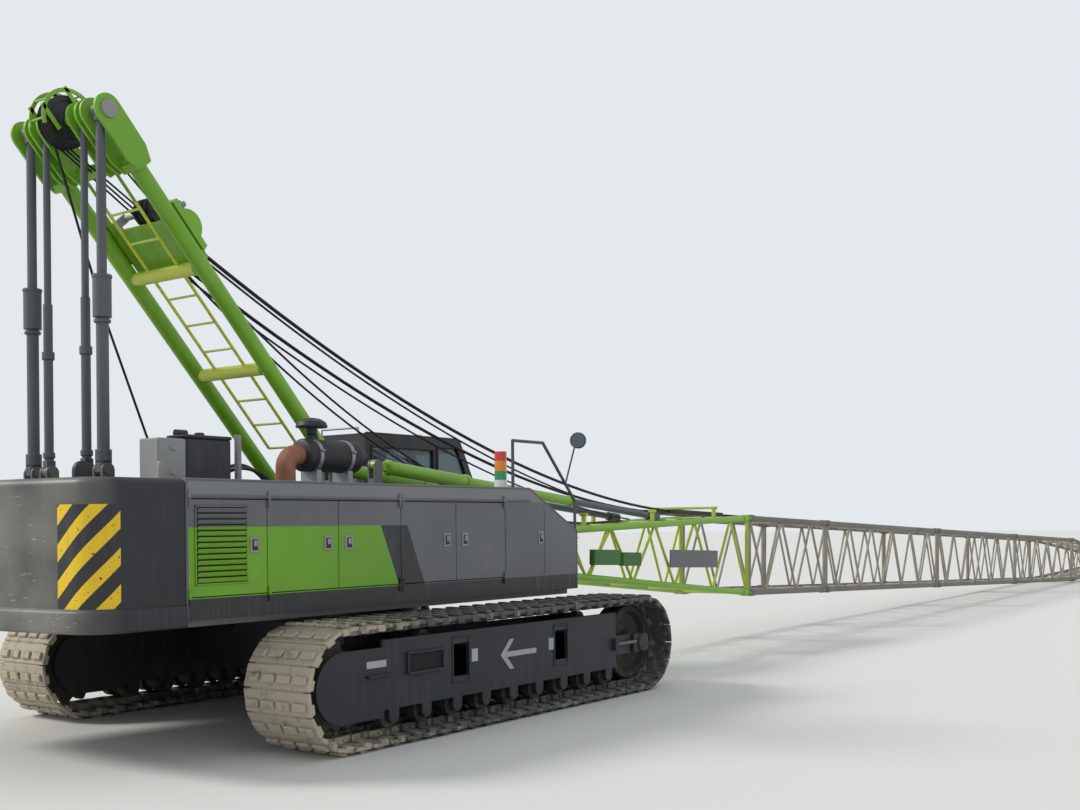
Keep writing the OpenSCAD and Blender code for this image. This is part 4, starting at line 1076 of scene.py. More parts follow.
@dataclass
class RunningGear:
    """Rollers, front wheels and drive wheels, all turned parts on the Y axis."""

    roller_radius: float = 0.109
    roller_count: int = 9
    roller_pitch: float = 0.426
    carrier_radius: float = 0.07
    carrier_x: float = 1.25
    inner_y: float = 0.213
    axle: Pair = (0.05, 0.11)
    teeth: int = 13
    tooth_deep: float = 0.06
    tip_gap: float = 0.002
    rim_t: float = 0.09

    def make(self) -> None:
        """Makes the rollers and the wheels in place of their plain solids."""
        low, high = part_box("rollers")
        wheel_low, wheel_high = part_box("track_wheels")
        wheel_r = (wheel_high.z - wheel_low.z) / 2
        wheel_x = wheel_high.x - wheel_r
        wheel_z = (wheel_high.z + wheel_low.z) / 2
        rollers, wheels = Shape(), Shape()
        tread, carrier = (self.roller_profile(r) for r in (self.roller_radius, self.carrier_radius))
        row = (np.arange(self.roller_count) - (self.roller_count - 1) / 2) * self.roller_pitch
        for box_low, box_high in [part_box(n) for n in ("track_right", "track_left")]:
            y = (box_low.y + box_high.y) / 2
            for x in row:
                rollers.turned(tread, (x, y, low.z + self.roller_radius), steps=24)
            for x in (-self.carrier_x, self.carrier_x):
                rollers.turned(carrier, (x, y, high.z - self.carrier_radius), steps=20)
            wheels.turned(self.wheel_profile(wheel_r), (wheel_x, y, wheel_z), steps=48)
            wheels.turned(disc(*self.axle, -self.inner_y, self.inner_y), (wheel_x, y, wheel_z))
            self.sprocket(wheels, (-wheel_x, y, wheel_z), wheel_r)
        rollers.piece("rollers_turned", WHEEL, "undercarriage", replaces=("rollers",))
        wheels.piece("track_wheels_turned", WHEEL, "undercarriage", replaces=("track_wheels",))

    def roller_profile(self, radius: float) -> list[Pair]:
        """Gives a roller's profile: a tread on each side, flanges and a narrow middle.

        Args:
            radius: Radius of the treads.

        Returns:
            Pairs of radius and height.
        """
        shares = [(0.45, 1.0), (0.45, 0.86), (1.0, 0.84), (1.0, 0.4), (0.72, 0.36), (0.72, 0.0)]
        rows = [(radius * r, -self.inner_y * h) for r, h in shares]
        return rows + [(r, -h) for r, h in rows[-2::-1]]

    def wheel_profile(self, radius: float) -> list[Pair]:
        """Gives the front wheel's profile: two rims, a web and a hub.

        Args:
            radius: Radius of the rims.

        Returns:
            Pairs of radius and height.
        """
        hub = [(0.07, -0.16), (0.13, -0.16), (0.15, -0.07)]
        rim = [(0.09, -0.05), (0.07, -0.12), (0.012, -0.12),
               (0, -0.108), (0, -0.045), (0.03, -0.035)]
        return mirrored(hub + [(radius - deep, h) for deep, h in rim])

    def sprocket(self, wheels: Shape, centre: Point, radius: float) -> None:
        """Adds a drive wheel: a hub and a toothed rim, whose radius is r - depth (1 + cos n a) / 2.

        Args:
            wheels: Where it is added.
            centre: Middle of the wheel.
            radius: Radius over the teeth.
        """
        end = self.inner_y
        wheels.turned(mirrored([(0.1, -end), (0.22, -end), (0.24, -0.1), (0.3, -0.06)]), centre)
        turn = np.linspace(0, TAU, 8 * self.teeth, endpoint=False)
        reach = radius - self.tooth_deep * (1 + np.cos(self.teeth * turn)) / 2 - self.tip_gap
        way = np.stack([np.cos(turn), np.sin(turn)], axis=1)
        outline = np.array(centre[::2]) + reach[:, None] * way
        wheels.plate(outline, centre[1] - self.rim_t / 2, centre[1] + self.rim_t / 2, 0.008)


@dataclass
class TrackFrameTrim:
    """What stands on the track frames' outer sides: the arrow, blank plates, step and hub parts.

    Places are X and Z in the side view, and e is the sign of the side.
    """

    arrow_tail: float = 0.37
    arrow_tip: float = -0.21
    arrow_z: float = 0.62
    arrow_bar: float = 0.026
    arrow_reach: float = 0.145
    labels: tuple[tuple[float, ...], ...] = (
        (0.63, 0.66, 0.09, 0.12), (-0.6, 0.66, 0.09, 0.12), (-1.92, 0.70, 0.24, 0.06))
    label_t: float = 0.006
    step_at: Pair = (-1.3, 0.67)
    tread_at: Pair = (-1.9, 0.6)
    hub_at: Pair = (2.33, 0.536)
    bolt_ring: float = 0.078
    windows: tuple[Pair, ...] = ((-0.8, 0.64), (0.8, 0.64))
    weld: float = 0.018

    def make(self) -> None:
        """Makes the trim of both sides."""
        face = -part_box("track_frame_right")[0].y
        marks, steel, dark, bolts = Shape(), Shape(), Shape(), Shape()
        for side in Side:
            y, e = side.value * face, side.value
            self.arrow(marks, e * (face + 0.001))
            x, z, wide, tall = np.transpose(self.labels)
            marks.blocks(np.stack([x, 0 * x + y, z], axis=1),
                         np.stack([wide, 0 * x + self.label_t, tall], axis=1), 0.002)
            self.step(steel, dark, y, e)
            self.hub(steel, bolts, y, e)
            self.window_frames(steel, y)
        marks.piece("frame_marks", WHITE_MARK, "undercarriage")
        steel.piece("frame_fittings", FRAME_PAINT, "undercarriage")
        # Painted shade: the step hollows are near-black plates.
        dark.piece("frame_step_painted_shade", PAINTED_SHADE, "undercarriage")
        bolts.piece("frame_bolts", BOLT, "undercarriage")

    def arrow(self, marks: Shape, y: float) -> None:
        """Adds the stencilled arrow that points to the rear: a bar and a head of two slanted bars.

        Args:
            marks: Where it is added.
            y: Outer face of the frame.
        """
        tip, z, bar, reach = self.arrow_tip, self.arrow_z, self.arrow_bar, self.arrow_reach
        out = 0.003 * math.copysign(1, y)
        shaft = [[tip + 0.05, z - bar], [self.arrow_tail, z - bar],
                 [self.arrow_tail, z + bar], [tip + 0.05, z + bar]]
        marks.plate(np.array(shaft), y, y + out, 0.0005)
        for e in (-1, 1):
            wing = [[tip, z], [tip + reach, z + e * reach],
                    [tip + reach + 0.07, z + e * reach], [tip + 0.075, z]]
            marks.plate(np.array(wing), y, y + out * 1.2, 0.0005)

    def step(self, steel: Shape, dark: Shape, y: float, e: int) -> None:
        """Adds the climbing step, a rim round a plate of painted shade, and a tread bar in front of
        it.

        Args:
            steel: Painted parts.
            dark: Near-black plates of painted shade.
            y: Outer face of the frame.
            e: Sign of the side.
        """
        x, z = self.step_at
        dark.blocks([x, y, z], [0.46, 0.012, 0.17], 0.003)
        rim = [[x, y + e * 0.012, z + 0.09], [x, y + e * 0.02, z - 0.085],
               [x - 0.235, y + e * 0.012, z], [x + 0.235, y + e * 0.012, z]]
        sizes = [[0.5, 0.03, 0.02], [0.5, 0.05, 0.022], [0.02, 0.03, 0.19], [0.02, 0.03, 0.19]]
        steel.blocks(rim, sizes, 0.004)
        x, z = self.tread_at
        steel.blocks([x, y + e * 0.02, z], [0.3, 0.045, 0.02], 0.004)

    def hub(self, steel: Shape, bolts: Shape, y: float, e: int) -> None:
        """Adds the front wheel's bearing block, its cap with a ring of bolts, and the tension rod.

        Args:
            steel: Painted parts.
            bolts: Bright parts.
            y: Outer face of the frame.
            e: Sign of the side.
        """
        x, z = self.hub_at
        steel.blocks([x - 0.02, y + e * 0.02, z], [0.3, 0.05, 0.2], 0.012)
        cap = [(0.02, 0.0), (0.1, 0.0), (0.1, 0.06), (0.075, 0.075), (0.02, 0.075)]
        steel.turned(cap, (x, y, z), (0, e, 0))
        turn = np.linspace(0, TAU, 8, endpoint=False)
        ring = np.stack([x + self.bolt_ring * np.cos(turn), 0 * turn + y,
                         z + self.bolt_ring * np.sin(turn)], axis=1)
        bolts.rods(ring + [0, e * 0.05, 0], ring + [0, e * 0.075, 0], 0.011, 6)
        rod = np.array([x, y + e * 0.03, z + 0.02])
        bolts.rods(rod - [0.5, 0, 0], rod - [0.12, 0, 0], 0.022, 12)
        steel.blocks([x - 0.52, y + e * 0.02, z + 0.02], [0.07, 0.06, 0.13], 0.006)

    def window_frames(self, steel: Shape, y: float) -> None:
        """Adds a welded rim round both openings of a frame.

        Args:
            steel: Painted parts.
            y: Outer face of the frame.
        """
        sizes = [[0.26, self.weld, 0.02]] * 2 + [[0.02, self.weld, 0.42]] * 2
        for x, z in self.windows:
            rim = [[x, y, z + 0.203], [x, y, z - 0.203], [x - 0.12, y, z], [x + 0.12, y, z]]
            steel.blocks(rim, sizes, 0.004)


@dataclass
class Counterweight:
    """The cast rear weight: a bowed block with round corners, a foot ledge and a rounded top edge.

    Its surface is the block's outline, carried up through levels that set it in or out.
    """

    corner: float = 0.28
    bow: float = 9.0
    ledge_z: float = 1.275
    ledge_d: float = -0.03
    edge: float = 0.012
    side_z: Span = (1.5, 1.75, 2.0)
    top_round: float = 0.06
    front_run: float = 0.45
    notch_x: float = -3.6
    notch_y: float = 0.65
    lug_x: float = -3.95
    lug_y: float = 0.9
    lug_r: float = 0.075
    lug_t: float = 0.04

    def make(self) -> None:
        """Makes the block and its lifting lugs."""
        low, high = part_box("counterweight")
        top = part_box("hood_right")[1].z
        outline, around = self.outline(low.x, high.x, -low.y)
        levels = self.levels(low.z, top)
        way = unit(np.roll(outline, -1, axis=0) - np.roll(outline, 1, axis=0))
        inward = np.stack([way[:, 1], -way[:, 0]], axis=1)
        front = outline[:, 0] > high.x - 0.5
        sides = front & (np.abs(outline[:, 1]) > 1.2)
        inward[front] = 0
        inward[sides, 1] = -np.sign(outline[sides, 1])
        z, inset = np.transpose(levels)[:, :, None, None]
        flat = outline[None] + inward[None] * inset
        height = np.broadcast_to(z, flat[:, :, :1].shape)
        along = np.broadcast_to(around[None, :, None], height.shape)
        block = Shape()
        block.grid(np.dstack([flat, height]), uv=np.dstack([along, height]))
        lug = self.lug(self.lug_x, top)
        for y in (-self.lug_y, self.lug_y):
            block.plate(lug, y - self.lug_t / 2, y + self.lug_t / 2, 0.004)
        block.piece("counterweight_cast", WEIGHT, "upper", 40.0, replaces=("counterweight",))

    def levels(self, foot: float, top: float) -> list[Pair]:
        """Gives the block's levels: a proud ledge, an upright side and a quarter round on top.

        Args:
            foot: Height of the underside.
            top: Height of the top.

        Returns:
            Pairs of height and distance inwards.
        """
        d, z, edge, r = self.ledge_d, self.ledge_z, self.edge, self.top_round
        ledge = [(foot, d + edge), (foot + edge, d), (z - edge, d), (z, d + 0.008), (z + edge, 0.0)]
        turn = np.radians(np.linspace(0, 90, 7))
        rounded = [(top - r + r * math.sin(a), r * (1 - math.cos(a))) for a in turn]
        return ledge + [(side, 0.0) for side in self.side_z] + rounded

    def outline(self, rear: float, front: float, half: float) -> tuple[np.ndarray, np.ndarray]:
        """Gives the block's outline from above, and the way round it from the middle of the rear.

        The rear is an arc of radius bow, and each corner an arc that meets it without a kink.

        Args:
            rear: X of the rear face in the middle.
            front: X of the front face.
            half: Half the block's width.

        Returns:
            Points going round once, and the signed way round to each.
        """
        lean = math.asin((half - self.corner) / (self.bow - self.corner))
        y = np.linspace(0, self.bow * math.sin(lean), 24)
        x = rear + self.bow - np.sqrt(self.bow ** 2 - y ** 2)
        centre = (x[-1] + self.corner * math.cos(lean), half - self.corner)
        round_part = arc(centre, self.corner, 180 - math.degrees(lean), 90.0, 15)[1:]
        side = np.array([[front - self.front_run, half], [front, half]])
        notch = np.array([[front, self.notch_y], [self.notch_x, self.notch_y]])
        right = np.vstack([np.stack([x, y], axis=1), round_part, side])
        steps = np.linalg.norm(np.diff(right, axis=0), axis=1)
        way = np.concatenate([[0], np.cumsum(steps)])
        inner = way[-1] + np.array([0.1, 0.2])
        points = np.vstack([right, notch, notch[::-1] * [1, -1], right[:0:-1] * [1, -1]])
        return points, np.concatenate([way, inner, -inner[::-1], -way[:0:-1]])

    def lug(self, x: float, top: float) -> np.ndarray:
        """Gives the outline of a lifting lug: a round head on a straight foot.

        Args:
            x: Middle of the lug.
            top: Height that it stands on.

        Returns:
            Points in the XZ plane.
        """
        head = arc((x, top + 0.07), self.lug_r, 0, 180, 13)
        return np.vstack([head, [[x - self.lug_r, top - 0.01], [x + self.lug_r, top - 0.01]]])


@dataclass(frozen=True)
class Axes:
    """A line of the machine seen from the side, with its foot, its direction and its upper side."""

    foot: Pair
    along: Pair
    up: Pair

    def at(self, s: object, y: object, v: object) -> np.ndarray:
        """Gives points as foot + s along + y across + v up.

        Args:
            s: Distances along the line.
            y: Distances from the machine's middle plane.
            v: Distances above the line.

        Returns:
            The points, one row for each value.
        """
        s, y, v = np.broadcast_arrays(*(np.asarray(part, float) for part in (s, y, v)))
        x = self.foot[0] + s * self.along[0] + v * self.up[0]
        return np.stack([x, y, self.foot[1] + s * self.along[1] + v * self.up[1]], axis=-1)

    def turn(self) -> np.ndarray:
        """Gives the matrix whose columns are the line's direction, the Y axis and its up."""
        (x, z), (u, w) = self.along, self.up
        return np.array([[x, 0, u], [0, 1, 0], [z, 0, w]])

    def flat(self, outline: np.ndarray) -> np.ndarray:
        """Turns an outline from (s, v) to (X, Z)."""
        return self.at(outline[:, 0], 0, outline[:, 1])[:, [0, 2]]

    def boxes(self, shape: Shape, centres: object, sizes: object, chamfer: float) -> None:
        """Adds boxes that lie along the line.

        Args:
            shape: Where they are added.
            centres: Rows of s, y and v.
            sizes: Sizes along, across and up.
            chamfer: Width cut from the edges.
        """
        rows = np.atleast_2d(centres).astype(float)
        turns = np.repeat(self.turn()[None], len(rows), axis=0)
        shape.blocks(self.at(*rows.T), sizes, chamfer, turns)


def leaning(foot: Pair, degrees: float, flip: int = 1) -> Axes:
    """Makes a line from its angle over the X axis; flip -1 puts its upper side to its right."""
    turn = math.radians(degrees)
    along = (math.cos(turn), math.sin(turn))
    return Axes(foot, along, (-flip * along[1], flip * along[0]))


# The boom dips until the corner of its tip section, half deep and one chord thick, lies just
# over the ground at the end of its parallel part.
FOOT_Z, HALF_DEPTH, CHORD_R, GROUND_GAP, PARALLEL_END = 1.57, 0.58, 0.045, 0.033, 28.1
BOOM_DIP = math.degrees(math.asin((FOOT_Z - HALF_DEPTH - CHORD_R - GROUND_GAP) / PARALLEL_END))
BOOM = leaning((1.2, FOOT_Z), -BOOM_DIP)
GANTRY_BACK, GANTRY_RISE = 3.48, 3.79
GANTRY = leaning((0.0, 1.5), 180 - math.degrees(math.atan2(GANTRY_RISE, GANTRY_BACK)), -1)
GANTRY_LEN = math.hypot(GANTRY_RISE, GANTRY_BACK)
STAY = leaning((-3.48, 2.35), 90)
BACKSTOP = leaning((-0.1, 2.505), -5.481)


def sheave(radius: float, width: float, bore: float) -> list[Pair]:
    """Gives the profile of a rope sheave: a hub, a thin web, and a rim with a round groove.

    Args:
        radius: Radius over the rim.
        width: Width of the rim.
        bore: Radius of the bore.

    Returns:
        Pairs of radius and height.
    """
    half, deep = width / 2, min(0.03, radius * 0.14)
    web = [(bore, -half), (bore * 1.7, -half), (bore * 1.9, -half * 0.5),
           (radius * 0.76, -half * 0.45), (radius * 0.82, -half * 0.95)]
    rim = [(radius - 0.004, -half), (radius, -half * 0.85),
           (radius - deep * 0.5, -half * 0.55), (radius - deep, -half * 0.2)]
    return mirrored(web + rim)


@dataclass
class HoodTrim:
    """What shows on the hoods' sides: louvres, latches, lower rails and the roof's seam."""

    side_y: float = 1.6
    louvre_x: Pair = (-3.43, -2.94)
    louvre_z: Pair = (1.44, 2.03)
    louvres: int = 13
    louvre_lean: float = -24.0
    latches: tuple[tuple[str, float, int, str], ...] = (
        ("latch_hood_door_1", -2.85, -1, "hood_door_1"),
        ("latch_hood_door_2", -2.03, -1, "hood_door_2"),
        ("latch_hood_door_3", -1.78, -1, "hood_door_3"),
        ("latch_hood_door_4", -0.45, -1, "hood_door_4"),
        ("latch_hood_door_5", -0.18, -1, "hood_door_5"),
        ("latch_upper", 1.09, -1, "upper"),
        ("latch_left_1", -2.3, 1, "left_door_1"),
        ("latch_left_2", -2.0, 1, "left_door_2"))
    latch_z: float = 1.73
    rail_z: float = 2.117
    rail_x: tuple[tuple[int, float, float], ...] = ((-1, -3.52, 0.9), (1, -3.52, 0.73))
    bead_r: float = 0.012
    bead_y: float = 1.594
    edge_z: float = 2.245
    nose: tuple[Pair, ...] = ((0.9, 2.245), (1.77, 1.797), (1.771, 1.797), (1.771, 1.17))
    rear: tuple[Pair, ...] = ((-3.515, 1.17), (-3.515, 2.245))
    joints: tuple[Pair, ...] = ((0.48, 1.72), (1.16, 1.7))

    def make(self) -> None:
        """Makes the trim of the right hood and the latches and seams of the left one."""
        self.louvred_door()
        for name, x, e, body in self.latches:
            self.latch(name, x, e, body)
        self.seams()

    def louvred_door(self) -> None:
        """Adds a raised rim and slanted blades over a painted-shade plate for the rear door's
        opening.
        """
        (x0, x1), (z0, z1) = self.louvre_x, self.louvre_z
        middle, height = np.array([(x0 + x1) / 2, -self.side_y, (z0 + z1) / 2]), z1 - z0
        width, step, lean = x1 - x0, height / self.louvres, math.radians(self.louvre_lean)
        dark, blades = Shape(), Shape()
        dark.blocks(middle - [0, 0.001, 0], [width, 0.006, height], 0.001)
        rise = step * (np.arange(self.louvres) + 0.5) - height / 2
        centres = middle + rise[:, None] * [0, 0, 1] - [0, 0.013, 0]
        c, s = math.cos(lean), math.sin(lean)
        turns = np.repeat(np.array([[[1, 0, 0], [0, c, s], [0, -s, c]]]), self.louvres, axis=0)
        blades.blocks(centres, [width - 0.01, 0.006, step * 0.8], 0.002, turns)
        offsets = np.array([[0, 0, -height / 2 - 0.008], [0, 0, height / 2 + 0.008],
                            [-width / 2 - 0.008, 0, 0], [width / 2 + 0.008, 0, 0]])
        sizes = [[width + 0.03, 0.014, 0.014]] * 2 + [[0.014, 0.014, height + 0.03]] * 2
        blades.blocks(middle + offsets - [0, 0.006, 0], sizes, 0.003)
        # Painted shade: a near-black plate stands for the dark behind the blades.
        dark.piece("louvre_painted_shade", PAINTED_SHADE, "hood_door_1")
        blades.piece("louvre_blades", HOOD, "hood_door_1")

    def latch(self, name: str, x: float, e: int, body: str) -> None:
        """Adds a paddle latch: a pale plate and paddle, with a black cup between them.

        Args:
            name: Name of its pieces.
            x: Its middle.
            e: Sign of the side.
            body: The body that it rides on.
        """
        y, z = e * self.side_y, self.latch_z
        plate, cup = Shape(), Shape()
        plate.blocks([x, y + e * 0.003, z], [0.095, 0.01, 0.13], 0.003)
        plate.blocks([x, y + e * 0.014, z + 0.012], [0.036, 0.01, 0.05], 0.003)
        cup.blocks([x, y + e * 0.008, z], [0.058, 0.008, 0.09], 0.003)
        plate.piece(name + "_plate", PALE, body)
        cup.piece(name + "_cup", BLACK, body)

    def seams(self) -> None:
        """Adds the rain rail over the doors and the rounded beads along the hoods' upper edges."""
        rail, beads = Shape(), Shape()
        for e, x0, x1 in self.rail_x:
            y = e * self.side_y
            rail.blocks([(x0 + x1) / 2, y + e * 0.006, self.rail_z], [x1 - x0, 0.016, 0.018], 0.004)
            y = e * self.bead_y
            beads.rods([x0, y, self.edge_z], [x1, y, self.edge_z], self.bead_r)
        for (x0, z0), (x1, z1) in (self.nose[:2], self.nose[2:], self.rear):
            beads.rods([x0, -self.bead_y, z0], [x1, -self.bead_y, z1], self.bead_r)
        for x, z in self.joints:
            rail.blocks([x, -self.side_y - 0.001, z], [0.007, 0.006, 0.72], 0.001)
        rail.piece("hood_rain_rails", GREY, "upper")
        beads.piece("hood_edge_beads", GREY, "upper")


@dataclass
class RoofFittings:
    """The air cleaner with its cap and pipe, the boxes and the posts on the right hood's top."""

    y: float = -1.0
    top: float = 2.25
    drum_x: float = -1.79
    drum_z: float = 2.52
    drum_r: float = 0.15
    drum_len: float = 0.70
    rib_x: Span = (0.08, 0.62, 0.045)
    rib: Span = (0.006, 0.014, 0.02)
    rib_deep: float = 0.0045
    band_x: Pair = (-1.65, -1.25)
    saddle_z: float = 2.39
    cap_x: float = -1.64
    cap_z: float = 2.64
    outlet_x: float = -1.1
    pipe_x: float = -1.96
    pipe_r: float = 0.089
    bend_r: float = 0.12
    split_x: float = -3.08
    dark_top: float = 2.64
    pale_top: float = 2.6
    lid_t: float = 0.03
    hinge_z: Pair = (2.32, 2.52)
    vent_at: Pair = (-2.46, -0.95)
    plug_at: Pair = (-3.45, -1.2)
    hoses: tuple[Pair, ...] = ((-0.9, 0.10), (-0.84, 0.13))
    hose_x: Pair = (-2.62, -2.05)
    hose_r: float = 0.016

    def make(self) -> None:
        """Makes the fittings."""
        self.air_cleaner()
        self.boxes()
        self.posts()

    def air_cleaner(self) -> None:
        """Adds the ribbed drum, its bands, the rain cap and the bent intake pipe."""
        drum, bands, pipe = Shape(), Shape(), Shape()
        ends = [(0.02, 0.0), (0.11, 0.0), (0.143, 0.014), (self.drum_r, 0.03)]
        into, out, end = self.rib
        low = self.drum_r - self.rib_deep
        ribs = [(r, x0 + x) for x0 in np.arange(*self.rib_x)
                for r, x in ((self.drum_r, 0), (low, into), (low, out), (self.drum_r, end))]
        profile = ends + ribs + [(r, self.drum_len - x) for r, x in ends[::-1]]
        drum.turned(profile, (self.drum_x, self.y, self.drum_z), AHEAD, 40)
        cap = [(0.03, 0.0), (0.062, 0.0), (0.062, 0.06), (0.05, 0.08), (0.05, 0.13), (0.142, 0.135),
               (0.146, 0.15), (0.13, 0.185), (0.08, 0.215), (0.02, 0.225)]
        drum.turned(cap, (self.cap_x, self.y, self.cap_z), UP, 32)
        outlet = [(0.03, 0.0), (0.075, 0.0), (0.07, 0.12), (0.02, 0.12)]
        drum.turned(outlet, (self.outlet_x, self.y, self.drum_z), AHEAD, 28)
        for x in self.band_x:
            band = [(0.149, -0.022), (0.156, -0.02), (0.156, 0.02), (0.149, 0.022)]
            bands.turned(band, (x, self.y, self.drum_z), AHEAD, 40, ring=True)
            bands.blocks([x, self.y, (self.top + self.saddle_z) / 2],
                         [0.06, 0.22, self.saddle_z - self.top], 0.006)
            clamp = np.array([x, self.y - 0.162, self.drum_z + 0.04])
            bands.rods(clamp - [0.02, 0, 0], clamp + [0.02, 0, 0], 0.012, 8)
        bend = arc((self.pipe_x + self.bend_r, self.drum_z - self.bend_r), self.bend_r, 180, 90, 12)
        foot, head = [self.pipe_x, self.top - 0.002], [self.drum_x + 0.002, self.drum_z]
        path = np.vstack([foot, bend, head])
        pipe.pipe(np.insert(path, 1, self.y, axis=1), self.pipe_r, ACROSS, 24)
        pipe.turned(disc(0.08, 0.12, 0.0, 0.018), (self.pipe_x, self.y, self.top), UP)
        drum.piece("air_cleaner_drum", BLACK, "upper", 30.0, replaces=("air_cleaner",))
        bands.piece("air_cleaner_bands", ZINC, "upper")
        pipe.piece("intake_pipe", RUST, "upper")

    def boxes(self) -> None:
        """Adds the dark service box with its lid and cap, and the pale box behind it."""
        low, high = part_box("deck_boxes")
        y, width = (low.y + high.y) / 2, high.y - low.y
        split, top, lid = self.split_x, self.dark_top, self.dark_top - self.lid_t
        front, rear = (split + high.x) / 2, (low.x + split) / 2
        dark, pale = Shape(), Shape()
        long = high.x - split
        dark.blocks([front, y, (self.top + lid) / 2], [long, width, lid - self.top], 0.012)
        dark.blocks([front, y, top - 0.016], [long + 0.012, width + 0.012, self.lid_t], 0.008)
        cap = [(0.01, 0), (0.042, 0), (0.042, 0.02), (0.03, 0.028), (0.01, 0.028)]
        dark.turned(cap, (split + 0.23, y, top), UP)
        roll = np.array([split + 0.03, y + 0.06, top + 0.02])
        dark.rods(roll, roll + [0.11, 0, 0], 0.03, 20)
        pale.blocks([rear, y, (self.top + self.pale_top) / 2],
                    [split - low.x - 0.002, width, self.pale_top - self.top], 0.012)
        for z in self.hinge_z:
            pale.blocks([rear, low.y - 0.004, z], [0.05, 0.012, 0.035], 0.003)
        dark.piece("service_box", SLATE, "upper", replaces=("deck_boxes",))
        pale.piece("battery_box", PALE, "upper")

    def posts(self) -> None:
        """Adds the pale vent post, a small plug, and hoses that arch 4 rise t (1 - t) upwards."""
        pale, hoses = Shape(), Shape()
        vent = [(0.01, 0), (0.045, 0), (0.045, 0.02), (0.03, 0.03), (0.03, 0.42), (0.01, 0.42)]
        plug = [(0.01, 0), (0.03, 0), (0.03, 0.13), (0.02, 0.15), (0.01, 0.15)]
        pale.turned(vent, (*self.vent_at, self.top), UP, 24)
        pale.turned(plug, (*self.plug_at, self.top), UP, 20)
        t = np.linspace(0, 1, 22)[:, None]
        for y, rise in self.hoses:
            rear, front = self.hose_x
            start, end = np.array([[rear, y, self.top + 0.05], [front, y, self.top + 0.02]])
            path = start + (end - start) * t + np.array([0, 0, 4 * rise]) * t * (1 - t)
            hoses.pipe(path, self.hose_r, ACROSS, 10)
        pale.piece("vent_posts", PALE, "upper")
        hoses.piece("roof_hoses", BLACK, "upper")


@dataclass
class RailTrim:
    """The mirror's glass, and the foot plates of the hood's handrail."""

    mirror: Point = (1.82, -1.59, 2.8)
    mirror_turn: float = 200.0
    foot_y: float = -1.5
    feet: tuple[Pair, ...] = ((0.74, 2.25), (1.88, 1.71))

    def make(self) -> None:
        """Makes the glass, which faces the cab's side and the rear, and the rail's foot plates."""
        glass, plates = Shape(), Shape()
        turn = math.radians(self.mirror_turn)
        pane = [(0.01, 0.0), (0.082, 0.0), (0.08, 0.004), (0.01, 0.006)]
        glass.turned(pane, self.mirror, (math.cos(turn), math.sin(turn), 0.0), 32)
        for x, z in self.feet:
            plates.turned(disc(0.01, 0.045, 0, 0.01), (x, self.foot_y, z), UP, 20)
        glass.piece("mirror_glass", MIRROR, "upper")
        plates.piece("rail_feet", ZINC, "upper")


